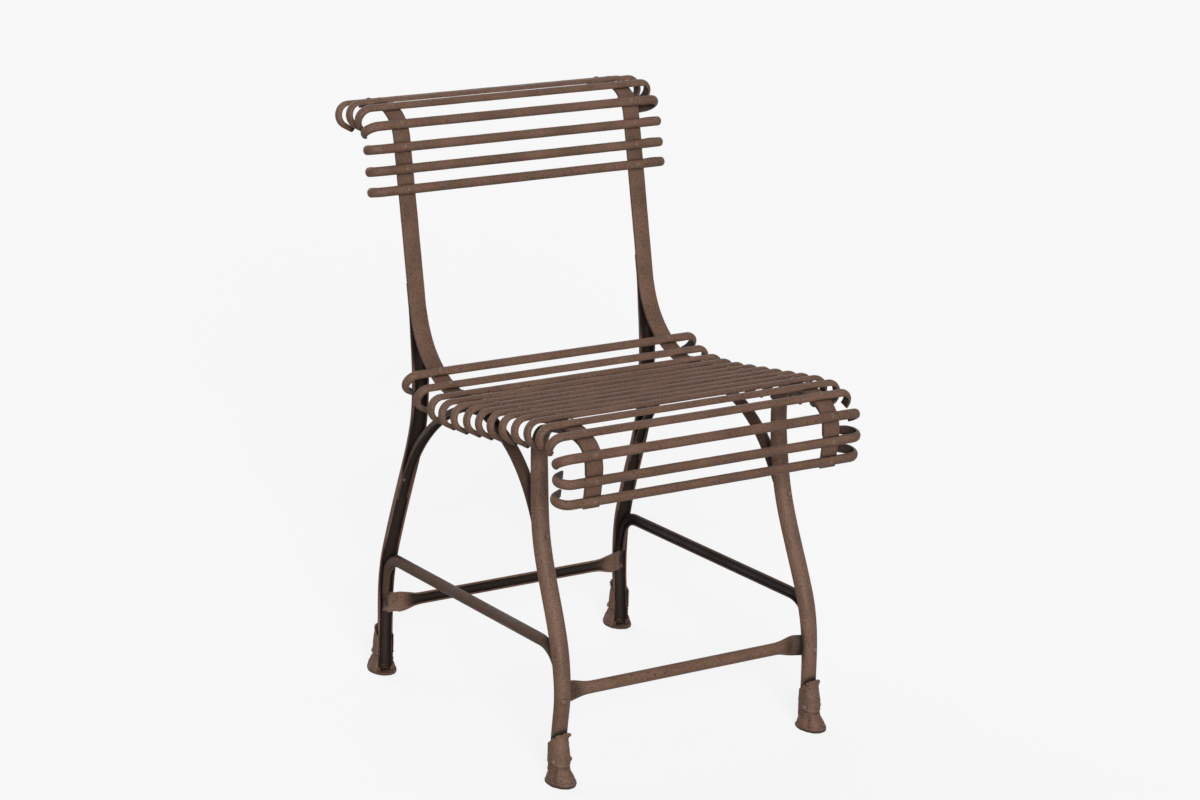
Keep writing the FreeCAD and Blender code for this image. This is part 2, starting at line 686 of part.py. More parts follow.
# Rivets through the legs into the arches and the stretchers
rivets["arch_rivets"] = []
rivets["stretcher_rivets"] = []
for name, side in SIDES.items():
    arch = "seat_arch_" + name
    turned = side * STRETCHER_RIVET_TURN
    joints = [
        ("front_leg_", FRONT_LEG_ROWS, -1, ARCH_RIVET_Z, ARCH_RIVET_TURN, arch),
        ("rear_leg_", REAR_LEG_ROWS, 1, REAR_ARCH_RIVET_Z, 0.0, arch),
        ("front_leg_", FRONT_LEG_ROWS, -1, FRONT_STRETCHER_Z - 5.0, turned, "front_stretcher"),
        ("rear_leg_", REAR_LEG_ROWS, 1, REAR_STRETCHER_Z, turned, "rear_stretcher"),
    ]
    for prefix, rows, face, level, turn, partner in joints:
        low = [row for row in rows if row[0] <= level][-1]
        high = [row for row in rows if row[0] > level][0]
        part = (level - low[0]) / (high[0] - low[0])
        rise = high[0] - low[0]
        radius = low[3] + (high[3] - low[3]) * part
        centre = V(side * (low[1] + (high[1] - low[1]) * part), low[2] + (high[2] - low[2]) * part, level)
        tilt = (high[2] - low[2]) / rise
        a = math.radians(turn)
        out = V(math.sin(a), face * math.cos(a), -face * math.cos(a) * tilt)
        out.normalize()
        seat = radius - LEG_SPOT
        cuts[prefix + name].append(bore(centre, out, 4.0, 30.0))
        cuts[prefix + name].append(bore(centre, out, seat, 30.0, HEAD_RADIUS + SEAT_CLEAR))
        if partner.startswith("seat_arch"):
            tail = ARCH_RADIUS - SMALL_WALL + NEST_SPOT - 1.0
            cuts[partner].append(bore(centre, out, 0.0, 30.0))
            cuts[partner].append(bore(centre, out, -4.0, tail, NEST_TAIL_RADIUS + SEAT_CLEAR))
            rivet = make_rivet(seat - tail, NEST_TAIL_RADIUS, TAIL_RISE, LEG_SPOT)
            rivets["arch_rivets"].append(aim(rivet, centre + out * seat, out))
        else:
            near = 5.0 - STUB_DEPTH
            cuts[partner].append(bore(centre, out, near - 0.1, 30.0))
            rivet = make_rivet(seat - near, 0.0, 0.0, LEG_SPOT)
            rivets["stretcher_rivets"].append(aim(rivet, centre + out * seat, out))

for key, cutters in cuts.items():
    if cutters:
        parts[key] = parts[key].cut(cutters)
for key, solids in rivets.items():
    parts[key] = Part.makeCompound(solids)

# The chair stands centred on the origin with its soles at z = 0
everything = Part.makeCompound(list(parts.values()))
box = everything.optimalBoundingBox(False, False)
shift = V(0, -(box.YMin + box.YMax) / 2, 0)
os.makedirs("parts", exist_ok=True)
for key, shape in parts.items():
    shape.translate(shift)
    shape.exportStep("parts/%s.step" % key)
size = (box.XLength, box.YLength, box.ZLength)
print("shift in y %.3f, box %.1f x %.1f x %.1f, base %.3f" % (shift.y, *size, box.ZMin))
for key, shape in parts.items():
    solids = len(shape.Solids)
    if not shape.isValid() or (solids != 1 and "rivets" not in key):
        print("look at", key, "valid", shape.isValid(), "solids", solids)
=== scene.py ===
"""Wrought iron garden chair: slats, side bars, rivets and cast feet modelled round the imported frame.

Metres, +Z up, the sitter faces -Y. The legs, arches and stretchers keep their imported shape, as do
the rivets that join them, and get their paint here. Every other piece is forged or cast here and
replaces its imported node.
"""

import logging
import math
from collections.abc import Callable
from dataclasses import dataclass, field
from enum import Enum

import bpy
from mathutils import Matrix, Vector


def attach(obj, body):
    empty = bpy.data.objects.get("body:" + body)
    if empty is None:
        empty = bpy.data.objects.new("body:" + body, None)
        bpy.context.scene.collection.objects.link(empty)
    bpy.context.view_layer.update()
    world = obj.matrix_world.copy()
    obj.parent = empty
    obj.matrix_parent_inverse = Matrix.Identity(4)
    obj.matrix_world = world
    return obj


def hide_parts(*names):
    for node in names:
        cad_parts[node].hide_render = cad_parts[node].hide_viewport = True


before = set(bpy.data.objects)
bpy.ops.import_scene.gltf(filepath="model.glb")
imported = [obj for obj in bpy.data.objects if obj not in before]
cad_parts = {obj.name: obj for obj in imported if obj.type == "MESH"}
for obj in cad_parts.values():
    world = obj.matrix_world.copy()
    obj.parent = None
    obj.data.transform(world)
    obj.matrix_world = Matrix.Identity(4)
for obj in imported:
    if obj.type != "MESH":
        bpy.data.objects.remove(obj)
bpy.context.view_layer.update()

LOG = logging.getLogger("chair")
MM = 0.001
BODY = "root"
# Added to every place along y, so that the chair stands centred on the origin
SHIFT_Y = -32.996 * MM
MERGE = 0.01 * MM


class Slot(Enum):
    """Material slots of the record."""

    SLAT = "slat_paint"
    FRAME = "frame_paint"
    FOOT = "cast_foot_paint"
    RIVET = "rivet_paint"


class Side(Enum):
    """Left and right half of the chair, with the sign of x."""

    LEFT = -1
    RIGHT = 1

    @property
    def word(self) -> str:
        """Name of the side as the nodes spell it."""
        return self.name.lower()


class End(Enum):
    """Front and rear pair of legs, with the way their toes point along y."""

    FRONT = -1
    REAR = 1

    @property
    def word(self) -> str:
        """Name of the end as the nodes spell it."""
        return self.name.lower()


# Modelling by hand


def clear_selection() -> None:
    """Deselects every object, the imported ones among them."""
    bpy.ops.object.select_all(action="DESELECT")


def pick(*pieces: bpy.types.Object) -> None:
    """Selects only these objects; the first one is active.

    Args:
        pieces: The objects to select.
    """
    clear_selection()
    for piece in pieces:
        piece.select_set(True)
    bpy.context.view_layer.objects.active = pieces[0]


def edit_all(piece: bpy.types.Object) -> None:
    """Opens a piece in edit mode with all its faces selected.

    Args:
        piece: The mesh object.
    """
    pick(piece)
    bpy.ops.object.mode_set(mode="EDIT")
    bpy.ops.mesh.select_mode(type="FACE")
    bpy.ops.mesh.select_all(action="SELECT")


def select_faces(piece: bpy.types.Object, wanted: Callable[[bpy.types.MeshPolygon], bool]) -> None:
    """Leaves edit mode, selects faces by their place and goes back in.

    Args:
        piece: The mesh object being edited.
        wanted: Test that is true for the faces to select.
    """
    bpy.ops.object.mode_set(mode="OBJECT")
    for edge in piece.data.edges:
        edge.select = False
    for vertex in piece.data.vertices:
        vertex.select = False
    for face in piece.data.polygons:
        face.select = wanted(face)
    bpy.ops.object.mode_set(mode="EDIT")
    bpy.ops.mesh.select_mode(type="FACE")


def select_corners(piece: bpy.types.Object, wanted: Callable[[bpy.types.MeshVertex], bool]) -> None:
    """Leaves edit mode, selects vertices by their place and goes back in.

    Args:
        piece: The mesh object being edited.
        wanted: Test that is true for the vertices to select.
    """
    bpy.ops.mesh.select_mode(type="VERT")
    bpy.ops.mesh.select_all(action="DESELECT")
    bpy.ops.object.mode_set(mode="OBJECT")
    for vertex in piece.data.vertices:
        vertex.select = wanted(vertex)
    bpy.ops.object.mode_set(mode="EDIT")


def leave_edit() -> None:
    """Goes back to object mode."""
    bpy.ops.object.mode_set(mode="OBJECT")


def settle(piece: bpy.types.Object) -> None:
    """Puts a piece's place, turn and scale into its mesh.

    Args:
        piece: The object to settle.
    """
    pick(piece)
    bpy.ops.object.transform_apply(location=True, rotation=True, scale=True)


def swing(steps: int, degrees: float, centre: Vector, axis: Vector) -> None:
    """Spins the selected faces by the right-hand rule about an axis.

    Args:
        steps: Number of sections.
        degrees: Angle to turn.
        centre: A point on the axis.
        axis: Direction of the axis.
    """
    back = -Vector(axis)
    bpy.ops.mesh.spin(steps=steps, angle=math.radians(degrees), center=tuple(centre), axis=tuple(back))


def pull(way: Vector, steps: int = 1) -> None:
    """Extrudes the selected faces along a straight way in equal steps.

    Args:
        way: The whole move.
        steps: Number of sections.
    """
    part = tuple(Vector(way) / steps)
    for _ in range(steps):
        bpy.ops.mesh.extrude_region_move(TRANSFORM_OT_translate={"value": part})


def apply_modifier(piece: bpy.types.Object, kind: str, **settings: object) -> None:
    """Adds a modifier with its settings and applies it.

    Args:
        piece: The mesh object.
        kind: Modifier type.
        settings: Values set on the modifier.
    """
    pick(piece)
    modifier = piece.modifiers.new(kind.lower(), kind)
    for key, value in settings.items():
        setattr(modifier, key, value)
    bpy.ops.object.modifier_apply(modifier=modifier.name)


def hammer(piece: bpy.types.Object, depth: float, grain: float, seed_shift: float = 0.0) -> None:
    """Dents a surface inwards only, so that it never leaves its stock size.

    Args:
        piece: The mesh object.
        depth: Deepest dent.
        grain: Size of the dents.
        seed_shift: Distance along x between this pattern and the plain one.
    """
    clouds = bpy.data.textures.new(piece.name + "_dents", "CLOUDS")
    clouds.noise_scale = grain
    clouds.noise_depth = 1
    if seed_shift:
        piece.data.transform(Matrix.Translation((seed_shift, 0, 0)))
    apply_modifier(piece, "DISPLACE", texture=clouds, strength=depth, mid_level=1.0, texture_coords="LOCAL")
    if seed_shift:
        piece.data.transform(Matrix.Translation((-seed_shift, 0, 0)))


def smooth(piece: bpy.types.Object, degrees: float = 40.0) -> None:
    """Shades a piece smooth except at its sharp edges.

    Args:
        piece: The mesh object.
        degrees: Edges that turn more stay sharp.
    """
    pick(piece)
    bpy.ops.object.shade_smooth_by_angle(angle=math.radians(degrees))


def outward(piece: bpy.types.Object) -> None:
    """Merges doubles and points all faces outwards.

    Args:
        piece: The mesh object.
    """
    edit_all(piece)
    bpy.ops.mesh.remove_doubles(threshold=MERGE)
    bpy.ops.mesh.normals_make_consistent(inside=False)
    leave_edit()


def copy_of(piece: bpy.types.Object, name: str) -> bpy.types.Object:
    """Copies a piece together with its mesh.

    Args:
        piece: The object to copy.
        name: Name of the copy.

    Returns:
        The new object, linked to the scene.
    """
    twin = piece.copy()
    twin.data = piece.data.copy()
    twin.name = name
    twin.data.name = name
    bpy.context.scene.collection.objects.link(twin)
    return twin


def join(pieces: list[bpy.types.Object], name: str) -> bpy.types.Object:
    """Joins several pieces into the first.

    Args:
        pieces: The objects to join.
        name: Name of the result.

    Returns:
        The joined object.
    """
    pick(*pieces)
    bpy.ops.object.join()
    whole = bpy.context.view_layer.objects.active
    whole.name = name
    whole.data.name = name
    return whole


def drop(piece: bpy.types.Object) -> None:
    """Removes a helper object."""
    bpy.data.objects.remove(piece, do_unlink=True)


# Finishes


@dataclass(frozen=True)
class IronPaint:
    """Chocolate satin paint brushed over forged or cast iron.

    The colour drifts between a worn and a full coat, with fine dark specks; the sheen drifts with it.
    The relief adds the skin of the iron under the paint: long hammer marks, scale pits and grain.
    Painted shade darkens what lies sheltered within its reach: hollows and the spots between parts. Scales
    are per metre, depths in metres.
    """

    name: str
    full: tuple[float, float, float] = (0.120, 0.067, 0.046)
    worn: tuple[float, float, float] = (0.172, 0.100, 0.069)
    # Near-black, for the dark specks and for painted shade
    dark_speck_and_shade: tuple[float, float, float] = (0.008, 0.005, 0.004)
    drift_scale: float = 22.0
    drift_range: tuple[float, float] = (0.36, 0.68)
    speck_scale: float = 480.0
    speck_share: float = 0.55
    dark_specks: tuple[float, float] = (0.54, 0.68)
    light_specks: tuple[float, float] = (0.44, 0.32)
    light_share: float = 0.5
    light_gain: float = 1.5
    gloss: tuple[float, float] = (0.42, 0.66)
    gloss_range: tuple[float, float] = (0.3, 0.7)
    shine: float = 0.17
    # Painted shade in sheltered spots: how far the occlusion looks, the range it maps, its share and its
    # samples
    shade_reach: float = 0.017
    shade_range: tuple[float, float] = (0.35, 0.88)
    shade_share: float = 0.94
    shade_samples: int = 12
    hammer_scale: float = 70.0
    hammer_depth: float = 0.0006
    pit_scale: float = 230.0
    pit_depth: float = 0.0005
    pit_range: tuple[float, float] = (0.05, 0.32)
    grain_scale: float = 1500.0
    grain_depth: float = 0.00012
    relief_strength: float = 0.55
    # Share of lighter wear on proud edges and of painted shade in creases
    edge_wear_and_crease_shade: float = 0.0
    edge_gain: float = 1.35
    edge_range: tuple[float, float] = (0.50, 0.56)
    crease_shade_range: tuple[float, float] = (0.50, 0.44)

    def build(self) -> bpy.types.Material:
        """Makes the node material.

        Returns:
            The finished material.
        """
        material = bpy.data.materials.new(self.name)
        material.use_nodes = True
        tree = material.node_tree
        shader = tree.nodes["Principled BSDF"]
        shader.inputs["Metallic"].default_value = 0.0
        shader.inputs["IOR"].default_value = 1.5
        shader.inputs["Specular IOR Level"].default_value = self.shine
        place = tree.nodes.new("ShaderNodeTexCoord")
        drift = self.noise(tree, place, self.drift_scale, detail=4.0, rough=0.55).outputs["Fac"]
        tree.links.new(self.colour(tree, place, drift), shader.inputs["Base Color"])
        tree.links.new(self.spread(tree, drift, self.gloss_range, self.gloss), shader.inputs["Roughness"])
        tree.links.new(self.skin(tree, place), shader.inputs["Normal"])
        return material

    def colour(
        self, tree: bpy.types.NodeTree, place: bpy.types.Node, drift: bpy.types.NodeSocket
    ) -> bpy.types.NodeSocket:
        """Mixes the paint's colour: two coats, dark and light specks, painted shade in sheltered spots,
        wear on proud edges with painted shade in creases.

        Args:
            tree: The node tree.
            place: The texture coordinate node.
            drift: Socket that drifts between the full and the worn coat.

        Returns:
            The colour socket.
        """
        coats = tree.nodes.new("ShaderNodeValToRGB")
        stops = coats.color_ramp.elements
        for stop, position, coat in zip(stops, self.drift_range, (self.full, self.worn)):
            stop.position = position
            stop.color = (*coat, 1.0)
        tree.links.new(drift, coats.inputs["Fac"])
        speck = self.noise(tree, place, self.speck_scale, detail=2.0, rough=0.6).outputs["Fac"]
        dark = self.spread(tree, speck, self.dark_specks, (0.0, self.speck_share))
        mix = self.mix(tree, dark, coats.outputs["Color"], (*self.dark_speck_and_shade, 1.0))
        light = self.spread(tree, speck, self.light_specks, (0.0, self.speck_share * self.light_share))
        mix = self.mix(tree, light, mix, (*(self.light_gain * c for c in self.worn), 1.0))
        # Painted shade: where ambient occlusion finds a spot sheltered, the colour darkens towards
        # near-black
        occlusion = tree.nodes.new("ShaderNodeAmbientOcclusion")
        occlusion.samples = self.shade_samples
        occlusion.inputs["Distance"].default_value = self.shade_reach
        painted_shade = self.spread(tree, occlusion.outputs["AO"], self.shade_range, (self.shade_share, 0.0))
        mix = self.mix(tree, painted_shade, mix, (*self.dark_speck_and_shade, 1.0))
        return self.wear_and_shade(tree, mix) if self.edge_wear_and_crease_shade else mix

    def skin(self, tree: bpy.types.NodeTree, place: bpy.types.Node) -> bpy.types.NodeSocket:
        """Stacks the relief of the iron's skin: hammer marks, scale pits and grain.

        Args:
            tree: The node tree.
            place: The texture coordinate node.

        Returns:
            The normal socket.
        """
        marks = self.noise(tree, place, self.hammer_scale, detail=2.0, rough=0.5)
        pits = tree.nodes.new("ShaderNodeTexVoronoi")
        pits.inputs["Scale"].default_value = self.pit_scale
        tree.links.new(place.outputs["Object"], pits.inputs["Vector"])
        bowls = self.spread(tree, pits.outputs["Distance"], self.pit_range, (0.0, 1.0))
        grain = self.noise(tree, place, self.grain_scale, detail=2.0, rough=0.5)
        relief = None
        levels = (
            (marks.outputs["Fac"], self.hammer_depth),
            (bowls, self.pit_depth),
            (grain.outputs["Fac"], self.grain_depth),
        )
        for height, depth in levels:
            bump = tree.nodes.new("ShaderNodeBump")
            bump.inputs["Strength"].default_value = self.relief_strength
            bump.inputs["Distance"].default_value = depth
            tree.links.new(height, bump.inputs["Height"])
            if relief is not None:
                tree.links.new(relief, bump.inputs["Normal"])
            relief = bump.outputs["Normal"]
        return relief

    def noise(
        self, tree: bpy.types.NodeTree, place: bpy.types.Node, scale: float, detail: float, rough: float
    ) -> bpy.types.Node:
        """Adds a noise texture on object coordinates.

        Args:
            tree: The node tree.
            place: The texture coordinate node.
            scale: Noise scale per metre.
            detail: Octaves.
            rough: Strength of the finer octaves.

        Returns:
            The noise node.
        """
        node = tree.nodes.new("ShaderNodeTexNoise")
        node.inputs["Scale"].default_value = scale
        node.inputs["Detail"].default_value = detail
        node.inputs["Roughness"].default_value = rough
        tree.links.new(place.outputs["Object"], node.inputs["Vector"])
        return node

    def spread(
        self,
        tree: bpy.types.NodeTree,
        source: bpy.types.NodeSocket,
        old: tuple[float, float],
        new: tuple[float, float],
    ) -> bpy.types.NodeSocket:
        """Maps one range onto another.

        Args:
            tree: The node tree.
            source: Socket to map.
            old: Range that comes in.
            new: Range that goes out.

        Returns:
            The mapped socket.
        """
        node = tree.nodes.new("ShaderNodeMapRange")
        node.inputs["From Min"].default_value = old[0]
        node.inputs["From Max"].default_value = old[1]
        node.inputs["To Min"].default_value = new[0]
        node.inputs["To Max"].default_value = new[1]
        tree.links.new(source, node.inputs["Value"])
        return node.outputs["Result"]

    def mix(
        self,
        tree: bpy.types.NodeTree,
        amount: bpy.types.NodeSocket,
        base: bpy.types.NodeSocket,
        over: tuple[float, float, float, float],
    ) -> bpy.types.NodeSocket:
        """Lays a colour over a base by an amount.

        Args:
            tree: The node tree.
            amount: Socket with the share of the upper colour.
            base: Socket with the base colour.
            over: The upper colour.

        Returns:
            The mixed colour socket.
        """
        node = tree.nodes.new("ShaderNodeMix")
        node.data_type = "RGBA"
        tree.links.new(amount, node.inputs["Factor"])
        tree.links.new(base, node.inputs["A"])
        node.inputs["B"].default_value = over
        return node.outputs["Result"]

    def wear_and_shade(self, tree: bpy.types.NodeTree, base: bpy.types.NodeSocket) -> bpy.types.NodeSocket:
        """Thins the paint on proud edges, so that they show lighter, and paints shade into creases,
        darkening them towards near-black.

        Args:
            tree: The node tree.
            base: Socket with the colour so far.

        Returns:
            The worn colour socket.
        """
        shape = tree.nodes.new("ShaderNodeNewGeometry")
        proud = self.spread(tree, shape.outputs["Pointiness"], self.edge_range, (0.0, self.edge_wear_and_crease_shade))
        light = tuple(self.edge_gain * c for c in self.worn)
        mixed = self.mix(tree, proud, base, (*light, 1.0))
        # Painted shade: creases, where pointiness is low, darken towards near-black
        crease_shade = self.spread(tree, shape.outputs["Pointiness"], self.crease_shade_range, (0.0, self.edge_wear_and_crease_shade))
        return self.mix(tree, crease_shade, mixed, (*self.dark_speck_and_shade, 1.0))


@dataclass
class PaintShop:
    """The chair's finishes, one for each kind of piece."""

    slat: IronPaint = IronPaint("slat_paint")
    # Near-black paint for the slats' flat sides: painted shade for the side turned away from the light
    flat: IronPaint = IronPaint(
        "painted_shade_flat_side_paint", full=(0.020, 0.012, 0.009), worn=(0.042, 0.025, 0.018), speck_share=0.3
    )
    bar: IronPaint = IronPaint("bar_paint", full=(0.112, 0.062, 0.042), worn=(0.160, 0.092, 0.064))
    # Channels reach farther for painted shade, so that their hollows darken towards near-black
    channel: IronPaint = IronPaint(
        "channel_paint",
        full=(0.132, 0.073, 0.050),
        worn=(0.182, 0.106, 0.074),
        shade_reach=0.03,
        shade_range=(0.86, 0.99),
    )
    # A darker copy of the channel paint for arches and side stretchers: painted shade where they lie under
    # the seat
    shaded_tie: IronPaint = IronPaint(
        "painted_shade_tie_paint",
        full=(0.062, 0.033, 0.021),
        worn=(0.088, 0.050, 0.033),
        shade_reach=0.03,
        shade_range=(0.86, 0.99),
    )
    foot: IronPaint = IronPaint(
        "foot_paint",
        full=(0.124, 0.069, 0.047),
        worn=(0.176, 0.102, 0.071),
        hammer_scale=130.0,
        hammer_depth=0.0012,
        pit_depth=0.0009,
        shade_range=(0.50, 0.90),
        edge_wear_and_crease_shade=0.55,
    )
    rivet: IronPaint = IronPaint("rivet_paint", full=(0.140, 0.083, 0.059), worn=(0.215, 0.135, 0.098))
    made: dict[str, bpy.types.Material] = field(default_factory=dict)

    def mixed(self, paint: IronPaint) -> bpy.types.Material:
        """Gives a finish's material, made when it is first asked for.

        Args:
            paint: The finish.

        Returns:
            The material.
        """
        if paint.name not in self.made:
            self.made[paint.name] = paint.build()
        return self.made[paint.name]

    def coat(self, piece: bpy.types.Object, *paints: IronPaint) -> None:
        """Paints a piece, all its slots alike or one finish for each slot.

        Args:
            piece: The mesh object.
            paints: The finishes, the last one for all slots that are left.
        """
        while len(piece.material_slots) < len(paints):
            piece.data.materials.append(None)
        for index, part in enumerate(piece.material_slots):
            part.material = self.mixed(paints[min(index, len(paints) - 1)])


def hand_over(piece: bpy.types.Object, slot: Slot, *nodes: str) -> None:
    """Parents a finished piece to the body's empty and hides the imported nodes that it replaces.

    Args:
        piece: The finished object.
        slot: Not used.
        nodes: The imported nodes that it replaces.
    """
    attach(piece, BODY)
    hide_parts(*nodes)
    LOG.info("%s: %d faces", piece.name, len(piece.data.polygons))


# Side bars


@dataclass
class SideBars:
    """Two bent flat strips that carry all slats.

    The path is that of the face turned to the sitter, in the plane of a bar, in runs of
    (length in mm, turn in degrees).
    """

    width: float = 24.6 * MM
    thick: float = 5.0 * MM
    centre_x: float = 181.2 * MM
    corner: float = 0.9 * MM
    start: tuple[float, float] = (328.8 * MM, 781.3 * MM)
    heading: float = 169.7
    runs: tuple[tuple[float, float], ...] = (
        (44.5, 0.0),
        (74.4, 88.5),
        (213.2, 0.0),
        (29.8, -9.1),
        (137.1, -67.3),
        (74.0, -9.9),
        (175.9, 0.0),
        (56.9, 32.5),
        (50.3, 70.7),
        (46.5, 6.5),
    )
    section_step: float = 7.0
    dent: float = 0.5 * MM
    dent_grain: float = 24 * MM
    sharp_angle: float = 35.0

    def ahead(
        self, y: float, z: float, heading: float, length: float, turn: float
    ) -> tuple[float, float, float]:
        """Moves along a straight run or an arc.

        Args:
            y: Start along the chair's depth.
            z: Start height.
            heading: Direction in degrees.
            length: Length of the run.
            turn: Angle in degrees, 0 for a straight run.

        Returns:
            The end point and its heading.
        """
        h = math.radians(heading)
        if not turn:
            return y + length * math.cos(h), z + length * math.sin(h), heading
        a = math.radians(turn)
        r = length / a
        y += r * (math.sin(h + a) - math.sin(h))
        z -= r * (math.cos(h + a) - math.cos(h))
        return y, z, heading + turn

    def at(self, run: float) -> tuple[float, float, float]:
        """Finds the point at a run length in mm.

        Args:
            run: Run length from the upper end.

        Returns:
            y, z and heading there.
        """
        y, z, heading = *self.start, self.heading
        left = run
        for length, turn in self.runs:
            step = min(left, length)
            y, z, heading = self.ahead(y, z, heading, step * MM, turn * step / length)
            left -= step
            if left <= 0:
                break
        return y + SHIFT_Y, z, heading

    def seat_of(self, run: float) -> Matrix:
        """Gives the seat of a slat on the bars.

        Args:
            run: Run length from the upper end, in mm.

        Returns:
            Matrix with local z out of the sitter's face and local x across the chair.
        """
        y, z, heading = self.at(run)
        return Matrix.Translation((0, y, z)) @ Matrix.Rotation(math.radians(heading - 180), 4, "X")

    def lift(self, run: float, half: float) -> float:
        """Height that a flat slat needs to lie on a hollow bend.

        Args:
            run: Run length of the slat, in mm.
            half: Half its width, in mm.

        Returns:
            The lift in metres.
        """
        lift = 0.0
        begin = 0.0
        for length, turn in self.runs:
            if turn < 0 and begin - half < run < begin + length + half:
                r = length / math.radians(-turn)
                lift = max(lift, r - math.sqrt(r * r - half * half))
            begin += length
        return lift * MM

    def forge(self, side: Side) -> bpy.types.Object:
        """Bends one bar.

        Args:
            side: Which bar.

        Returns:
            The bar's object.
        """
        centre = side.value * self.centre_x
        clear_selection()
        bpy.ops.mesh.primitive_plane_add(size=1.0, location=(centre, 0, 0))
        bar = bpy.context.object
        bar.name = "forged_bar_" + side.word
        bar.data.name = bar.name
        settle(bar)
        edit_all(bar)
        bpy.ops.transform.resize(value=(self.width, self.thick, 1.0), center_override=(centre, 0, 0))
        bpy.ops.mesh.bevel(offset=self.corner, segments=3, affect="VERTICES")
        leave_edit()
        y, z, heading = *self.start, self.heading
        y += SHIFT_Y
        h = math.radians(heading)
        half = self.thick / 2
        # The flat outline stands square to the first run, its middle half a thickness behind the face
        turned = Matrix.Rotation(h - math.pi, 4, "X") @ Matrix.Rotation(math.pi / 2, 4, "X")
        middle = Vector((0, y - half * math.sin(h), z + half * math.cos(h)))
        bar.data.transform(Matrix.Translation(middle) @ turned)
        edit_all(bar)
        for length, turn in self.runs:
            steps = max(2, round(length / self.section_step))
            h = math.radians(heading)
            if turn:
                radius = length * MM / math.radians(turn)
                pivot = Vector((0, y - radius * math.sin(h), z + radius * math.cos(h)))
                swing(steps, turn, pivot, Vector((1, 0, 0)))
            else:
                pull(Vector((0, math.cos(h), math.sin(h))) * length * MM, steps)
            y, z, heading = self.ahead(y, z, heading, length * MM, turn)
        leave_edit()
        outward(bar)
        hammer(bar, self.dent, self.dent_grain)
        smooth(bar, self.sharp_angle)
        return bar

    def build(self, shop: PaintShop) -> None:
        """Makes, paints and hands over both bars.

        Args:
            shop: The finishes.
        """
        for side in Side:
            bar = self.forge(side)
            shop.coat(bar, shop.bar)
            hand_over(bar, Slot.FRAME, "side_bar_" + side.word)


# Slats


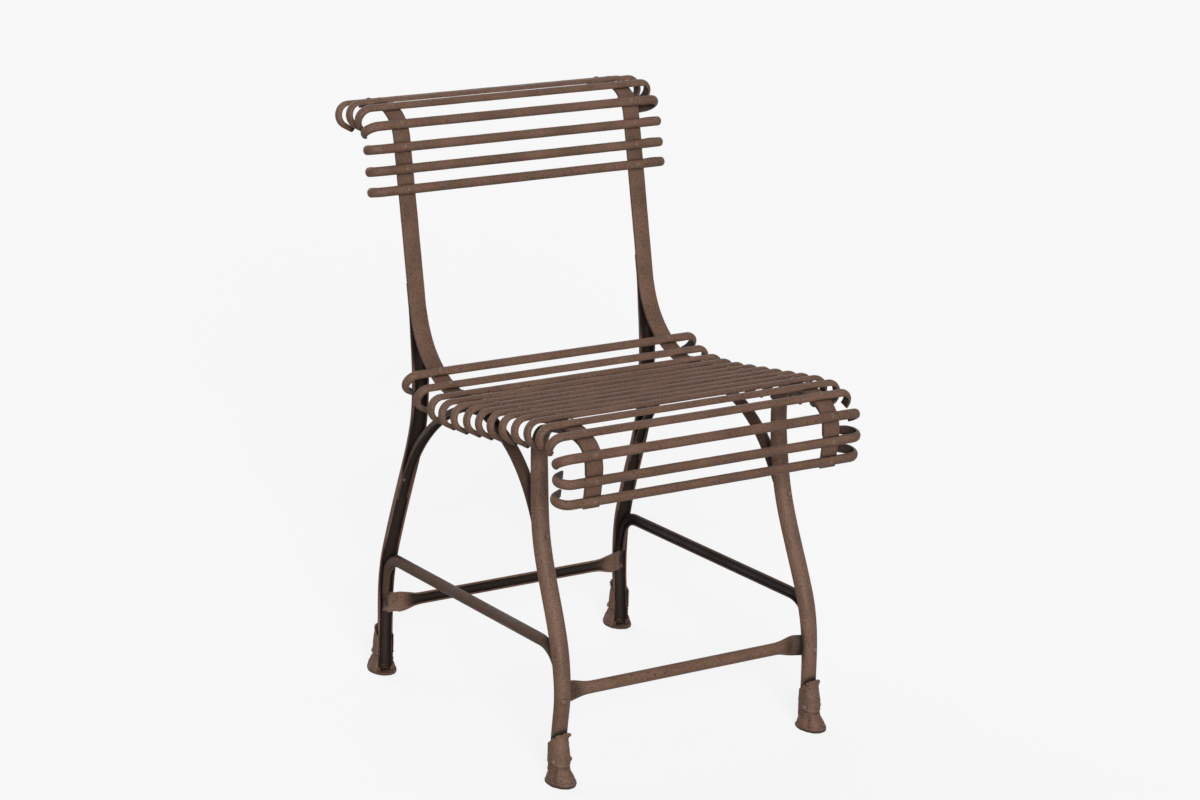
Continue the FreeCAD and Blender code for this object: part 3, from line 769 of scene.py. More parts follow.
@dataclass
class Slats:
    """Half-oval strips laid across both bars, their ends hooked away from the sitter.

    The first slat's place and the gaps from slat to slat are mm of run along the bars.
    """

    bars: SideBars
    width: float = 13.1 * MM
    thick: float = 6.8 * MM
    edge: float = 1.6 * MM
    span: float = 465.6 * MM
    hook_radius: float = 19.4 * MM
    hook_turn: float = 150.0
    hook_tail: float = 14.0 * MM
    outline_points: int = 28
    span_steps: int = 40
    hook_steps: int = 14
    tip_steps: int = 3
    tip_taper: tuple[float, float, float] = (0.97, 0.93, 0.97)
    tip_middle: float = 0.45
    soft_edge: float = 0.5 * MM
    dent: float = 0.35 * MM
    dent_grain: float = 17 * MM
    dent_shift: float = 0.61
    sharp_angle: float = 42.0
    first: float = 7.4
    back_gaps: tuple[float, ...] = (30.4, 31.3, 30.8, 30.2, 28.9, 27.2)
    back_to_seat: float = 253.8
    seat_gaps: tuple[float, ...] = (30.4, 33.1, 27.6, 30.0, 31.7, 29.9, 29.1, 30.0, 29.1, 30.4, 31.5)
    seat_to_apron: float = 27.3
    apron_gaps: tuple[float, ...] = (32.8, 31.7, 27.4)
    open_hooks: dict[str, tuple[float, float]] = field(
        default_factory=lambda: {
            "back_slat_3": (138.0, 150.0),
            "back_slat_4": (138.0, 150.0),
            "apron_slat_1": (122.0, 122.0),
            "apron_slat_2": (138.0, 138.0),
        }
    )
    stock: dict[tuple[float, float], bpy.types.Object] = field(default_factory=dict)

    def rows(self) -> dict[str, list[float]]:
        """Lists the run length of each slat on the bars, group by group.

        Returns:
            Group name to run lengths in mm.
        """
        out: dict[str, list[float]] = {}
        run = self.first
        groups = (
            ("back", self.back_gaps, 0.0),
            ("seat", self.seat_gaps, self.back_to_seat),
            ("apron", self.apron_gaps, self.seat_to_apron),
        )
        for name, gaps, lead in groups:
            run += lead
            out[name] = [run]
            for gap in gaps:
                run += gap
                out[name].append(run)
        return out

    def forge(self, turns: tuple[float, float]) -> bpy.types.Object:
        """Forges one straight slat with both hooks, lying on the plane z = 0.

        Args:
            turns: Angles of the left and the right hook in degrees; a full hook has a straight tip.

        Returns:
            The slat's object.
        """
        reach = self.span / 2 - self.hook_radius
        clear_selection()
        bpy.ops.mesh.primitive_circle_add(
            vertices=self.outline_points,
            radius=1.0,
            fill_type="NGON",
            location=(-reach, 0, 0),
            rotation=(0, math.pi / 2, 0),
        )
        slat = bpy.context.object
        settle(slat)
        edit_all(slat)
        middle = (-reach, 0, 0)
        bpy.ops.transform.resize(value=(1.0, self.width / 2, self.thick), center_override=middle)
        bpy.ops.mesh.bisect(plane_co=middle, plane_no=(0, 0, 1), use_fill=False, clear_inner=True)
        select_corners(slat, lambda v: v.co.z > 0.1 * MM)
        # Squeezed towards the crown, the round starts above an upright edge
        squeeze = (self.thick - self.edge) / self.thick
        bpy.ops.transform.resize(value=(1.0, 1.0, squeeze), center_override=(-reach, 0, self.thick))
        bpy.ops.mesh.select_mode(type="FACE")
        bpy.ops.mesh.select_all(action="SELECT")
        pull(Vector((2 * reach, 0, 0)), self.span_steps)
        self.hook(Side.RIGHT, reach, turns[1])
        # The end face that the slat was drawn from
        select_faces(slat, lambda f: len(f.vertices) > 4 and f.center.x < 1 * MM - reach and f.center.z > 0)
        self.hook(Side.LEFT, reach, turns[0])
        leave_edit()
        outward(slat)
        slat.data.materials.append(None)
        slat.data.materials.append(None)
        # Faces of the flat side take the second slot, the near-black painted shade
        for face in slat.data.polygons:
            face.material_index = int(self.on_flat_side(face, reach, turns))
        corner = math.radians(50)
        apply_modifier(
            slat, "BEVEL", width=self.soft_edge, segments=2, limit_method="ANGLE", angle_limit=corner
        )
        return slat

    def on_flat_side(self, face: bpy.types.MeshPolygon, reach: float, turns: tuple[float, float]) -> bool:
        """Tells whether a face of the bent slat lies on its flat side.

        Args:
            face: The face.
            reach: Where the straight part ends.
            turns: Angles of both hooks in degrees.

        Returns:
            True for a face of the flat side.
        """
        level = 0.5 * MM
        x, z = abs(face.center.x), face.center.z
        inner = self.hook_radius - self.thick
        a = math.radians(turns[0] if face.center.x < 0 else turns[1])
        dx, dz = x - reach, z - self.thick + self.hook_radius
        if math.atan2(dx, dz) <= 0:
            height = z
        elif math.atan2(dx, dz) < a:
            height = math.hypot(dx, dz) - inner
        else:
            height = dx * math.sin(a) + dz * math.cos(a) - inner
        return len(face.vertices) <= 4 and height < level

    def hook(self, side: Side, reach: float, turn: float) -> None:
        """Bends the selected end down and draws out the tip of a full hook.

        Args:
            side: The end that is bent.
            reach: Where the straight part ends.
            turn: Angle of the hook in degrees.
        """
        way = side.value
        pivot = Vector((way * reach, 0, self.thick - self.hook_radius))
        swing(self.hook_steps, turn, pivot, Vector((0, way, 0)))
        a = math.radians(turn)
        along = Vector((way * math.cos(a), 0, -math.sin(a)))
        middle_r = self.hook_radius - self.thick * self.tip_middle
        tip = pivot + Vector((way * math.sin(a), 0, math.cos(a))) * middle_r
        steps = self.tip_steps if turn == self.hook_turn else 0
        for _ in range(steps):
            pull(along * self.hook_tail / steps)
            tip += along * self.hook_tail / steps
            bpy.ops.transform.resize(value=self.tip_taper, center_override=tuple(tip))

    def build(self, shop: PaintShop) -> None:
        """Makes, paints and hands over all slats.

        Args:
            shop: The finishes.
        """
        count = 0
        for group, runs in self.rows().items():
            for index, run in enumerate(runs):
                node = f"{group}_slat_{index + 1}"
                turns = self.open_hooks.get(node, (self.hook_turn, self.hook_turn))
                if turns not in self.stock:
                    self.stock[turns] = self.forge(turns)
                slat = copy_of(self.stock[turns], "forged_" + node)
                count += 1
                hammer(slat, self.dent, self.dent_grain, self.dent_shift * count)
                lift = self.bars.lift(run, self.width / 2 / MM)
                slat.data.transform(self.bars.seat_of(run) @ Matrix.Translation((0, 0, lift)))
                smooth(slat, self.sharp_angle)
                shop.coat(slat, shop.slat, shop.flat)
                hand_over(slat, Slot.SLAT, node)
        for master in self.stock.values():
            drop(master)


# Rivets


@dataclass
class Rivets:
    """Hand-peened rivets: a low dome in front, a shank and a smaller dome behind."""

    bars: SideBars
    slats: Slats
    head: float = 3.9 * MM
    tail: float = 3.5 * MM
    rise: float = 1.5 * MM
    sunk: float = 1.2 * MM
    shank: float = 2.3 * MM
    shank_length: float = 2.2 * MM
    tail_sunk: float = 0.2 * MM
    dent: float = 0.35 * MM
    dent_grain: float = 4 * MM
    turn_step: float = 73.0

    def forge(self, radius: float, rise: float) -> bpy.types.Object:
        """Peens one rivet head on the plane z = 0 with a short shank below.

        Args:
            radius: Radius of the dome.
            rise: Height of the dome.

        Returns:
            The rivet's object.
        """
        clear_selection()
        bpy.ops.mesh.primitive_uv_sphere_add(segments=14, ring_count=10, radius=1.0)
        rivet = bpy.context.object
        edit_all(rivet)
        bpy.ops.transform.resize(value=(radius, radius, rise), center_override=(0, 0, 0))
        bpy.ops.mesh.bisect(plane_co=(0, 0, 0), plane_no=(0, 0, 1), use_fill=True, clear_inner=True)
        select_faces(rivet, lambda f: f.normal.z < -0.9)
        bpy.ops.mesh.inset(thickness=radius - self.shank, depth=0.0)
        pull(Vector((0, 0, -self.shank_length)))
        leave_edit()
        hammer(rivet, self.dent, self.dent_grain)
        smooth(rivet, 50)
        return rivet

    def seated(self, master: bpy.types.Object, seat: Matrix, name: str, turn: float) -> bpy.types.Object:
        """Copies a rivet onto its seat.

        Args:
            master: The rivet to copy.
            seat: Matrix with local z out of the metal.
            name: Name of the copy.
            turn: Turn about its own axis in degrees, so that no two look the same.

        Returns:
            The placed rivet.
        """
        rivet = copy_of(master, name)
        rivet.data.transform(seat @ Matrix.Rotation(math.radians(turn), 4, "Z"))
        return rivet

    def build(self, shop: PaintShop) -> None:
        """Makes, paints and hands over the rivets of the slats.

        Args:
            shop: The finishes.
        """
        front = self.forge(self.head, self.rise + self.sunk)
        back = self.forge(self.tail, self.rise)
        over = Matrix.Rotation(math.pi, 4, "X")
        for group, runs in self.slats.rows().items():
            placed: list[bpy.types.Object] = []
            for run in runs:
                seat = self.bars.seat_of(run)
                lift = self.bars.lift(run, self.slats.width / 2 / MM)
                crown = lift + self.slats.thick - self.sunk
                for side in Side:
                    across = side.value * self.bars.centre_x
                    turn = self.turn_step * len(placed)
                    top = seat @ Matrix.Translation((across, 0, crown))
                    placed.append(self.seated(front, top, "head", turn))
                    behind = seat @ Matrix.Translation((across, 0, -self.bars.thick + self.tail_sunk))
                    placed.append(self.seated(back, behind @ over, "tail", turn))
            node = group + "_slat_rivets"
            whole = join(placed, "peened_" + node)
            shop.coat(whole, shop.rivet)
            hand_over(whole, Slot.RIVET, node)
        drop(front)
        drop(back)


# Cast feet


# Outlines of the castings, each level as (height, half width, half length, offset towards the toe) in mm
Outline = tuple[tuple[float, float, float, float], ...]
SLEEVE: Outline = (
    (33.0, 14.2, 17.2, 6.2),
    (42.0, 14.2, 16.8, 5.6),
    (52.0, 13.6, 16.0, 4.4),
    (60.0, 13.5, 15.3, 3.6),
    (76.0, 13.7, 14.9, 2.8),
)
FRONT_OUTLINE: Outline = (
    (0.0, 18.0, 24.4, 12.2),
    (1.5, 18.5, 24.9, 12.1),
    (5.5, 18.4, 24.6, 11.9),
    (12.0, 16.9, 21.6, 10.4),
    (19.0, 15.0, 18.2, 8.6),
    (26.0, 13.6, 16.4, 7.2),
    *SLEEVE,
)
REAR_OUTLINE: Outline = (
    (0.0, 18.2, 24.0, 9.0),
    (1.5, 18.7, 24.5, 9.0),
    (5.5, 18.5, 24.0, 9.0),
    (12.0, 16.9, 21.2, 8.2),
    (19.0, 15.0, 18.2, 7.4),
    (26.0, 13.6, 16.4, 6.6),
    *SLEEVE,
)


def wave(angle: float, count: float, phase: float = 0.0) -> float:
    """Gives a sine wave that runs so many times round the foot, all in degrees."""
    return math.sin(math.radians(count * angle + phase))


@dataclass(frozen=True)
class Band:
    """A raised band, or a groove where its height is negative: its middle, its reach and its height."""

    middle: float
    reach: float
    height: float = 1.0

    def at(self, value: float, shift: float = 0.0) -> float:
        """Gives the height at a value, with the band's middle moved by a shift."""
        return self.height * math.exp(-(((value - self.middle - shift) / self.reach) ** 2))


@dataclass(frozen=True)
class HoofRelief:
    """Sculpted surface of a foot over its plain casting.

    Bands named for a side run up the foot, in degrees from the toe; all others run round it, in mm
    of height. A seam like a smile parts the hoof below from the ankle sleeve above.
    """

    seam_level: float = 26.0
    seam_dip: Band = Band(-4.0, 48.0, 2.4)
    seam_blend: float = 0.6
    seam: Band = Band(0.0, 1.1, -1.0)
    seam_wave: float = 0.4
    panel_turn_left: float = -13.0
    panel_turn_right: float = -5.0
    panel_half: float = 20.0
    panel_flare: float = 7.0
    panel_top: float = 26.0
    panel_blend: float = 1.8
    panel: Band = Band(15.0, 11.0, 2.2)
    flank: Band = Band(18.0, 7.0, -1.7)
    border_side: Band = Band(6.0, 7.0)
    border: Band = Band(15.0, 9.0, -0.7)
    heel_side: Band = Band(74.0, 5.0)
    heel: Band = Band(16.0, 10.0, -1.0)
    sole_rim: Band = Band(3.8, 2.6, 0.6)
    sole_ring: Band = Band(7.6, 0.9, -0.6)
    crack_sides: tuple[Band, ...] = (Band(-20.0, 2.2), Band(6.0, 2.2))
    crack_sway: float = 3.0
    crack: Band = Band(13.0, 7.0, -0.4)
    coronet: Band = Band(3.0, 1.9, 0.8)
    collar_line: Band = Band(58.0, 1.3, -0.5)
    collar_sway: float = 2.5
    hair: Band = Band(51.0, 3.0, 0.35)
    fold_side: Band = Band(22.0, 10.0)
    fold: Band = Band(44.0, 2.4, -1.2)
    fold_slant: float = 0.12
    knuckle_side: Band = Band(30.0, 7.0)
    knuckle: Band = Band(40.0, 3.0, 0.9)
    dimple_side: Band = Band(-28.0, 12.0)
    dimple: Band = Band(37.0, 4.5, -0.6)
    ragged_from: float = 52.0
    ragged_over: float = 8.0
    ragged_high: float = 0.5
    ragged_low: float = 0.35

    def out(self, angle: float, z: float, side: Side) -> float:
        """Gives the height of the sculpted surface over the plain casting.

        Args:
            angle: Degrees from the toe, positive towards +x.
            z: Height in mm.
            side: Left or right foot.

        Returns:
            Height in mm, negative for a hollow.
        """
        seam = self.seam_level - self.seam_dip.at(angle)
        hoof = 1 / (1 + math.exp((z - seam) / self.seam_blend))
        sleeve = 1 - hoof
        turned = abs(angle - (self.panel_turn_left if side is Side.LEFT else self.panel_turn_right))
        below = self.panel_top - min(z, self.panel_top)
        panel_half = self.panel_half + self.panel_flare * below / self.panel_top
        panel = 1 / (1 + math.exp((turned - panel_half) / self.panel_blend))
        out = hoof * panel * self.panel.at(z)
        out += hoof * (1 - panel) * self.flank.at(z)
        out += hoof * self.border_side.at(turned, panel_half) * self.border.at(z)
        out += hoof * self.heel_side.at(abs(angle)) * self.heel.at(z)
        out += hoof * (self.sole_rim.at(z) + self.sole_ring.at(z))
        for crack_side in self.crack_sides:
            out += hoof * crack_side.at(angle, self.crack_sway * math.sin(z)) * self.crack.at(z)
        out += self.seam.at(z, seam) * (1.0 + self.seam_wave * wave(angle, 3))
        out += sleeve * self.coronet.at(z, seam)
        out += sleeve * self.collar_line.at(z, self.collar_sway * wave(angle, 5))
        out += sleeve * self.hair.at(z) * wave(angle, 7, 30)
        out += sleeve * self.fold_side.at(angle) * self.fold.at(z, self.fold_slant * angle)
        out += sleeve * self.knuckle_side.at(angle) * self.knuckle.at(z)
        out += sleeve * self.dimple_side.at(angle) * self.dimple.at(z)
        return out

    def rag(self, angle: float, z: float) -> float:
        """Gives how far the ragged collar is drawn up.

        Args:
            angle: Degrees from the toe, positive towards +x.
            z: Height in mm.

        Returns:
            Rise in mm, 0 below the collar.
        """
        if z <= self.ragged_from:
            return 0.0
        ripple = wave(angle, 9) * self.ragged_high + wave(angle, 23, 40) * self.ragged_low
        return ripple * min(1.0, (z - self.ragged_from) / self.ragged_over)


@dataclass
class HoofFeet:
    """A pair of cast feet: a hoof with a raised front panel, an ankle sleeve with tufts, two dewclaws.

    A foot is a half shell on the crown side of the leg; its base plate reaches behind the leg. The
    sizes written with MM are metres; the levels and reaches of the sculpted details are mm.
    """

    end: End
    foot_x: float
    foot_y: float
    rows: Outline
    relief: HoofRelief = HoofRelief()
    leg_radius: float = 11.2 * MM
    leg_clear: float = 0.25 * MM
    leg_bore: float = 8.0 * MM
    leg_ahead: float = 4.5
    plate: float = 3.5 * MM
    leg_foot: float = 9.0 * MM
    lean: tuple[float, float] = (-0.017, -0.040)
    outline_points: int = 72
    level_step: float = 1.5
    level_ease: float = 0.4
    top: float = 75.0
    rough_voxel: float = 0.9 * MM
    fine_voxel: float = 0.6 * MM
    dent: float = 0.7 * MM
    dent_grain: float = 7 * MM
    dent_shift: float = 0.37
    sharp_angle: float = 45.0
    core_ahead: float = 3.0
    core_radius: float = 6.0
    sole_kept: float = 0.6
    plain_until: float = 0.1
    plain_blend: float = 0.3
    collar_height: float = 54.5
    collar_slope: float = 0.795
    collar_plane: tuple[float, float] = (0.62, 0.78)
    claw_turn: float = 57.0
    claw_reach: float = 14.4
    claw_height: float = 31.5
    claw_radius: float = 3.6 * MM
    claw_stretch: tuple[float, float, float] = (1.0, 1.0, 1.1)
    tuft_reach: float = 12.6
    tuft_sunk: float = 0.6
    tuft_stretch: tuple[float, float, float] = (1.15, 1.15, 1.0)
    tufts: tuple[tuple[float, float], ...] = (
        (-66.0, 1.7),
        (-44.0, 2.2),
        (-24.0, 1.8),
        (-4.0, 2.3),
        (14.0, 1.8),
        (33.0, 2.4),
        (57.0, 3.2),
    )
    open_behind: float = 1.0
    open_block: tuple[float, float, float] = (90.0, 60.0, 100.0)
    bore_height: float = 90 * MM
    well_overlap: float = 4 * MM
    well_corner: float = 1.2 * MM

    def profile(self, z: float) -> tuple[float, float, float]:
        """Interpolates the outline of the casting.

        Args:
            z: Height in mm.

        Returns:
            Half width, half length and offset towards the toe, in mm.
        """
        rows = self.rows
        for low, high in zip(rows, rows[1:]):
            if z <= high[0]:
                t = (z - low[0]) / (high[0] - low[0])
                t = t * t * (3 - 2 * t) * self.level_ease + t * (1 - self.level_ease)
                return tuple(a + (b - a) * t for a, b in zip(low[1:], high[1:]))
        return rows[-1][1:]

    def body(self, side: Side) -> bpy.types.Object:
        """Stacks the outlines into a closed body with a slanted top.

        Args:
            side: Left or right foot.

        Returns:
            The closed body.
        """
        x = side.value * self.foot_x
        toe = self.end.value
        half_x, half_y, offset = self.profile(0.0)
        clear_selection()
        centre = Vector((x, self.foot_y + toe * offset * MM, 0))
        bpy.ops.mesh.primitive_circle_add(
            vertices=self.outline_points, radius=1.0, fill_type="NGON", location=centre
        )
        hoof = bpy.context.object
        hoof.name = f"cast_{self.end.word}_hoof_{side.word}"
        hoof.data.name = hoof.name
        settle(hoof)
        edit_all(hoof)
        bpy.ops.transform.resize(value=(half_x * MM, half_y * MM, 1.0), center_override=tuple(centre))
        z = 0.0
        while z < self.top:
            z += self.level_step
            new_x, new_y, new_offset = self.profile(z)
            pull(Vector((0, toe * (new_offset - offset) * MM, self.level_step * MM)))
            centre = Vector((x, self.foot_y + toe * new_offset * MM, z * MM))
            grow = (new_x / half_x, new_y / half_y, 1.0)
            bpy.ops.transform.resize(value=grow, center_override=tuple(centre))
            half_x, half_y, offset = new_x, new_y, new_offset
        back, up = self.collar_plane
        bpy.ops.mesh.select_all(action="SELECT")
        bpy.ops.mesh.bisect(
            plane_co=(x, self.foot_y, self.collar_height * MM),
            plane_no=tuple(Vector((0, -toe * back, up)).normalized()),
            use_fill=True,
            clear_outer=True,
        )
        leave_edit()
        outward(hoof)
        return hoof

    def lump(self, x: float, y: float, z: float, radius: float, stretch: Vector) -> bpy.types.Object:
        """Makes a rounded lump of metal.

        Args:
            x: Centre across the chair.
            y: Centre along the chair.
            z: Centre height.
            radius: Radius.
            stretch: Scale of the lump along each axis.

        Returns:
            The lump.
        """
        clear_selection()
        bpy.ops.mesh.primitive_ico_sphere_add(subdivisions=3, radius=radius, location=(x, y, z))
        ball = bpy.context.object
        ball.scale = stretch
        settle(ball)
        return ball

    def round_spot(self, side: Side, degrees: float, reach: float, z: float) -> Vector:
        """Finds a point round the leg.

        Args:
            side: Left or right foot.
            degrees: Angle from the toe.
            reach: Distance from the leg's axis, in mm.
            z: Height in mm.

        Returns:
            The point.
        """
        a = math.radians(degrees)
        x = side.value * (self.foot_x + self.lean[0] * z * MM)
        y = self.foot_y + self.end.value * (self.leg_ahead + reach * math.cos(a)) * MM
        return Vector((x + reach * math.sin(a) * MM, y, z * MM))

    def sculpt(self, hoof: bpy.types.Object, side: Side) -> None:
        """Works the casting's surface: panel, creases, coronet, dents and the ragged collar.

        Args:
            hoof: The fused casting.
            side: Left or right foot.
        """
        x0 = side.value * self.foot_x
        y0 = self.foot_y + self.end.value * self.core_ahead * MM
        toe = self.end.value
        # Taken before any vertex moves
        normals = [vertex.normal.copy() for vertex in hoof.data.vertices]
        for vertex, normal in zip(hoof.data.vertices, normals):
            co = vertex.co
            co.z = max(co.z, 0.0)
            z = co.z / MM
            dx = co.x - x0
            dy = (co.y - y0) * toe
            angle = math.degrees(math.atan2(dx, dy))
            reach = math.hypot(dx, dy)
            if reach < self.core_radius * MM or z < self.sole_kept:
                continue
            # Faces that look sideways or inwards stay plain
            facing = (normal.x * dx + toe * normal.y * dy) / reach
            share = min(1.0, max(0.0, (facing - self.plain_until) / self.plain_blend))
            move = self.relief.out(angle, z, side) * share
            co.x += dx / reach * move * MM
            co.y += toe * dy / reach * move * MM
            co.z += self.relief.rag(angle, z) * MM

    def leg_space(self, side: Side) -> bpy.types.Object:
        """Makes the space that the leg stands in.

        Args:
            side: Left or right foot.

        Returns:
            The cutting object.
        """
        x = side.value * self.foot_x
        depth = self.bore_height
        clear_selection()
        bpy.ops.mesh.primitive_cylinder_add(
            vertices=56,
            radius=self.leg_radius + self.leg_clear,
            depth=depth,
            location=(x, self.foot_y, self.leg_foot + depth / 2),
        )
        bore = bpy.context.object
        settle(bore)
        edit_all(bore)
        select_faces(bore, lambda f: f.normal.z > 0.9)
        lean_x = side.value * self.lean[0] * depth
        bpy.ops.transform.translate(value=(lean_x, self.lean[1] * depth, 0))
        leave_edit()
        return bore

    def well(self, side: Side) -> bpy.types.Object:
        """Makes the space that carries the leg's hollow on down to the base plate.

        Args:
            side: Left or right foot.

        Returns:
            The cutting object.
        """
        top = self.leg_foot + self.well_overlap
        depth = top - self.plate
        clear_selection()
        bpy.ops.mesh.primitive_cylinder_add(
            vertices=40,
            radius=self.leg_bore,
            depth=depth,
            location=(side.value * self.foot_x, self.foot_y, self.plate + depth / 2),
        )
        well = bpy.context.object
        settle(well)
        edit_all(well)
        select_faces(well, lambda f: f.normal.z < -0.9)
        bpy.ops.mesh.bevel(offset=self.well_corner, segments=2)
        leave_edit()
        return well

    def open_side(self, side: Side) -> bpy.types.Object:
        """Makes the block that clears the hollow side above the base plate.

        Args:
            side: Left or right foot.

        Returns:
            The cutting object.
        """
        width, depth, height = self.open_block
        y = self.foot_y - self.end.value * (self.open_behind + depth / 2) * MM
        clear_selection()
        bpy.ops.mesh.primitive_cube_add(
            size=1.0,
            location=(side.value * self.foot_x, y, self.plate + height / 2 * MM),
            scale=(width * MM, depth * MM, height * MM),
        )
        block = bpy.context.object
        settle(block)
        return block

    def cast(self, side: Side) -> bpy.types.Object:
        """Casts one foot.

        Args:
            side: Left or right foot.

        Returns:
            The finished foot.
        """
        hoof = self.body(side)
        name = hoof.name
        lumps = []
        for turn in (-self.claw_turn, self.claw_turn):
            spot = self.round_spot(side, turn, self.claw_reach, self.claw_height)
            lumps.append(self.lump(*spot, self.claw_radius, Vector(self.claw_stretch)))
        for turn, size in self.tufts:
            ahead = self.leg_ahead + self.tuft_reach * math.cos(math.radians(turn))
            level = self.collar_height + self.collar_slope * ahead - self.tuft_sunk
            spot = self.round_spot(side, turn, self.tuft_reach, level)
            lumps.append(self.lump(*spot, size * MM, Vector(self.tuft_stretch)))
        hoof = join([hoof, *lumps], name)
        apply_modifier(hoof, "REMESH", mode="VOXEL", voxel_size=self.rough_voxel)
        apply_modifier(hoof, "SMOOTH", factor=0.5, iterations=2)
        for tool in (self.leg_space(side), self.well(side), self.open_side(side)):
            apply_modifier(hoof, "BOOLEAN", operation="DIFFERENCE", object=tool, solver="MANIFOLD")
            drop(tool)
        apply_modifier(hoof, "REMESH", mode="VOXEL", voxel_size=self.fine_voxel)
        self.sculpt(hoof, side)
        hammer(hoof, self.dent, self.dent_grain, self.dent_shift * side.value)
        outward(hoof)
        smooth(hoof, self.sharp_angle)
        return hoof

    def build(self, shop: PaintShop) -> None:
        """Casts, paints and hands over the pair of feet.

        Args:
            shop: The finishes.
        """
        for side in Side:
            hoof = self.cast(side)
            shop.coat(hoof, shop.foot)
            hand_over(hoof, Slot.FOOT, f"{self.end.word}_hoof_{side.word}")


# Packed channels


@dataclass
class Channels:
    """Legs, arches and stretchers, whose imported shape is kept."""

    words: tuple[str, ...] = ("leg", "arch", "stretcher")
    ties: tuple[str, ...] = ("arch", "side_stretcher")

    def build(self, shop: PaintShop) -> None:
        """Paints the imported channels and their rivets.

        Args:
            shop: The finishes.
        """
        for name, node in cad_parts.items():
            if "rivets" in name:
                if "slat" not in name:
                    shop.coat(node, shop.rivet)
            elif any(word in name for word in self.words):
                # Arches and side stretchers take the darker copy, painted shade; legs and the other
                # stretchers take the channel paint
                shaded_tie = any(word in name for word in self.ties)
                shop.coat(node, shop.shaded_tie if shaded_tie else shop.channel)
                LOG.info("%s painted", name)


# Studio


@dataclass(frozen=True)
class Lamp:
    """A broad lamp so far away that it lights the whole floor alike.

    Its place is in degrees from the sitter's side towards +x and above the floor, its spread is its
    apparent width in degrees and its strength is in watts per square metre.
    """

    name: str
    azimuth: float
    elevation: float
    spread: float
    strength: float
    away: float = 4.0

    def hang(self) -> None:
        """Hangs the lamp and points it at the chair."""
        data = bpy.data.lights.new(self.name, "SUN")
        data.angle = math.radians(self.spread)
        data.energy = self.strength
        a, e = math.radians(self.azimuth), math.radians(self.elevation)
        towards = Vector((math.sin(a) * math.cos(e), -math.cos(a) * math.cos(e), math.sin(e)))
        lamp = bpy.data.objects.new(self.name, data)
        lamp.location = towards * self.away
        lamp.rotation_euler = towards.to_track_quat("Z", "Y").to_euler()
        bpy.context.scene.collection.objects.link(lamp)


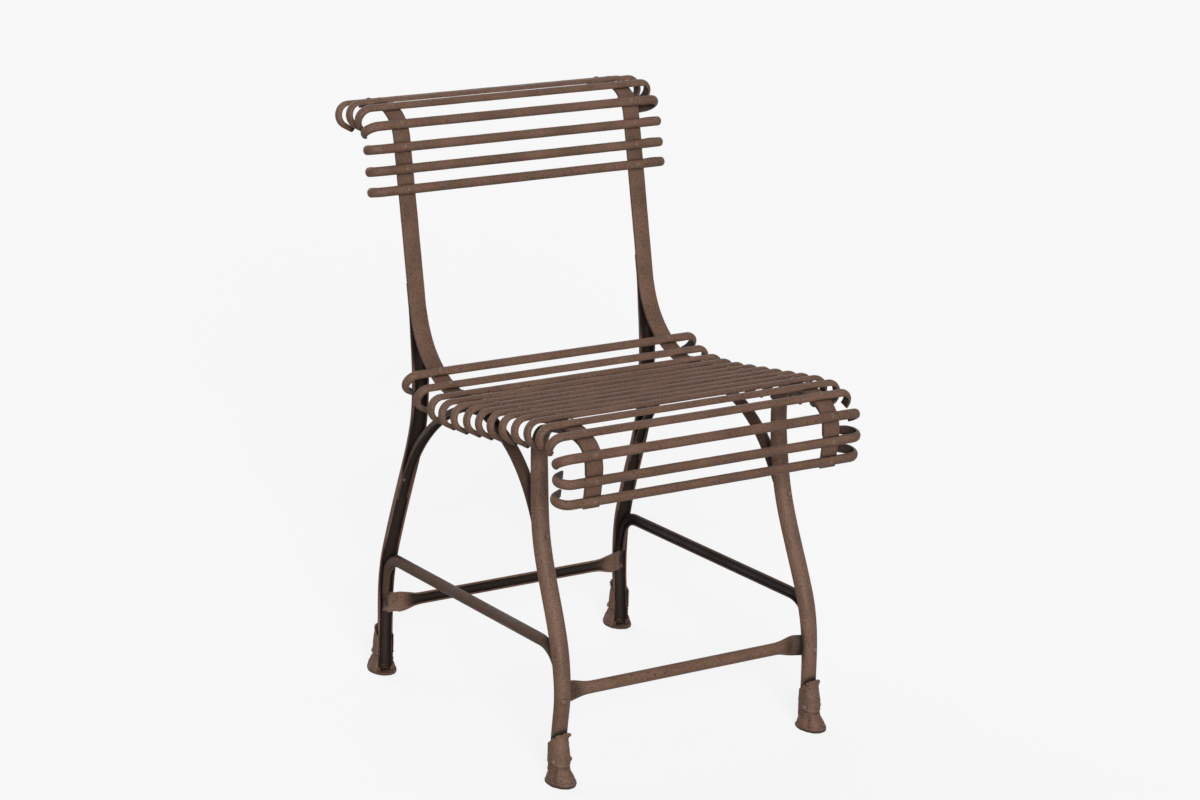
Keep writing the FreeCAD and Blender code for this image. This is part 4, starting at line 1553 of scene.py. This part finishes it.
@dataclass
class Studio:
    """White seamless ground, soft light from the front left and the photo's view.

    The floor throws back the share bounce of its light. Where it is seen, the share glow is plain
    white and the rest keeps the chair's shadow; the background is seen at the strength white.
    """

    eye: Vector = field(default_factory=lambda: Vector((-2.36458, -3.60142 + SHIFT_Y, 1.64647)))
    forward: Vector = field(default_factory=lambda: Vector((0.526476, 0.805324, -0.272536)))
    up: Vector = field(default_factory=lambda: Vector((0.128758, 0.241337, 0.961862)))
    focal_px: float = 3394.0
    frame_px: float = 1200.0
    sensor: float = 36.0
    ambient: float = 0.12
    bounce: float = 0.10
    glow: float = 0.80
    white: float = 0.945
    floor_size: float = 40.0
    sight: float = 60.0
    lamps: tuple[Lamp, ...] = (
        Lamp("key_softbox", azimuth=-25.0, elevation=18.0, spread=24.0, strength=3.2),
        Lamp("top_softbox", azimuth=10.0, elevation=80.0, spread=60.0, strength=0.15),
        Lamp("rear_fill", azimuth=180.0, elevation=30.0, spread=70.0, strength=1.2),
    )

    def camera(self) -> None:
        """Sets up the camera."""
        data = bpy.data.cameras.new("photo_camera")
        data.sensor_width = self.sensor
        data.lens = self.focal_px / self.frame_px * self.sensor
        data.clip_end = self.sight
        camera = bpy.data.objects.new("photo_camera", data)
        right = self.forward.cross(self.up).normalized()
        up = right.cross(self.forward).normalized()
        back = -self.forward.normalized()
        turn = Matrix((right, up, back)).transposed().to_4x4()
        camera.matrix_world = Matrix.Translation(self.eye) @ turn
        bpy.context.scene.collection.objects.link(camera)
        bpy.context.scene.camera = camera

    def floor(self) -> None:
        """Lays a white floor that keeps the chair's shadow but throws little light back up."""
        clear_selection()
        bpy.ops.mesh.primitive_plane_add(size=self.floor_size, location=(0, 0, 0))
        ground = bpy.context.object
        ground.name = "studio_floor"
        material = bpy.data.materials.new("floor_white")
        material.use_nodes = True
        tree = material.node_tree
        shader = tree.nodes["Principled BSDF"]
        shader.inputs["Roughness"].default_value = 1.0
        shader.inputs["Specular IOR Level"].default_value = 0.0
        seen = self.seen(tree)
        mix = tree.nodes.new("ShaderNodeMix")
        mix.data_type = "RGBA"
        mix.inputs["A"].default_value = (*(3 * [self.bounce]), 1.0)
        mix.inputs["B"].default_value = (1.0, 1.0, 1.0, 1.0)
        tree.links.new(seen, mix.inputs["Factor"])
        tree.links.new(mix.outputs["Result"], shader.inputs["Base Color"])
        share = tree.nodes.new("ShaderNodeMath")
        share.operation = "MULTIPLY"
        share.inputs[1].default_value = self.glow
        tree.links.new(seen, share.inputs[0])
        glow = tree.nodes.new("ShaderNodeEmission")
        blend = tree.nodes.new("ShaderNodeMixShader")
        tree.links.new(share.outputs["Value"], blend.inputs["Fac"])
        tree.links.new(shader.outputs["BSDF"], blend.inputs[1])
        tree.links.new(glow.outputs["Emission"], blend.inputs[2])
        tree.links.new(blend.outputs["Shader"], tree.nodes["Material Output"].inputs["Surface"])
        ground.data.materials.append(material)

    def seen(self, tree: bpy.types.NodeTree) -> bpy.types.NodeSocket:
        """Adds the share of rays that see the ground itself: camera, glossy and transmission rays.

        Args:
            tree: The node tree.

        Returns:
            Socket that is 1 for those rays.
        """
        rays = tree.nodes.new("ShaderNodeLightPath")
        total = rays.outputs["Is Camera Ray"]
        for other in ("Is Glossy Ray", "Is Transmission Ray"):
            add = tree.nodes.new("ShaderNodeMath")
            add.operation = "ADD"
            add.use_clamp = True
            tree.links.new(total, add.inputs[0])
            tree.links.new(rays.outputs[other], add.inputs[1])
            total = add.outputs[0]
        return total

    def world(self) -> None:
        """Fills the room with soft light; the background itself is white."""
        world = bpy.data.worlds.new("studio_world")
        world.use_nodes = True
        bpy.context.scene.world = world
        tree = world.node_tree
        ambient = tree.nodes["Background"]
        ambient.inputs["Color"].default_value = (1.0, 1.0, 1.0, 1.0)
        ambient.inputs["Strength"].default_value = self.ambient
        white = tree.nodes.new("ShaderNodeBackground")
        white.inputs["Color"].default_value = (1.0, 1.0, 1.0, 1.0)
        white.inputs["Strength"].default_value = self.white
        choose = tree.nodes.new("ShaderNodeMixShader")
        tree.links.new(self.seen(tree), choose.inputs["Fac"])
        tree.links.new(ambient.outputs["Background"], choose.inputs[1])
        tree.links.new(white.outputs["Background"], choose.inputs[2])
        tree.links.new(choose.outputs["Shader"], tree.nodes["World Output"].inputs["Surface"])

    def build(self) -> None:
        """Sets up floor, light and camera."""
        bpy.context.scene.view_settings.view_transform = "Standard"
        self.camera()
        self.floor()
        self.world()
        for lamp in self.lamps:
            lamp.hang()


def main() -> None:
    """Builds the chair piece by piece and the studio round it."""
    logging.basicConfig(level=logging.INFO, format="%(name)s %(message)s")
    shop = PaintShop()
    bars = SideBars()
    slats = Slats(bars)
    bars.build(shop)
    slats.build(shop)
    Rivets(bars, slats).build(shop)
    front_feet = HoofFeet(End.FRONT, foot_x=196.8 * MM, foot_y=-203.3 * MM + SHIFT_Y, rows=FRONT_OUTLINE)
    front_feet.build(shop)
    rear_feet = HoofFeet(
        End.REAR, foot_x=194.2 * MM, foot_y=244.1 * MM + SHIFT_Y, rows=REAR_OUTLINE, lean=(-0.017, 0.024)
    )
    rear_feet.build(shop)
    Channels().build(shop)
    Studio().build()


if __name__ == "__main__":
    main()
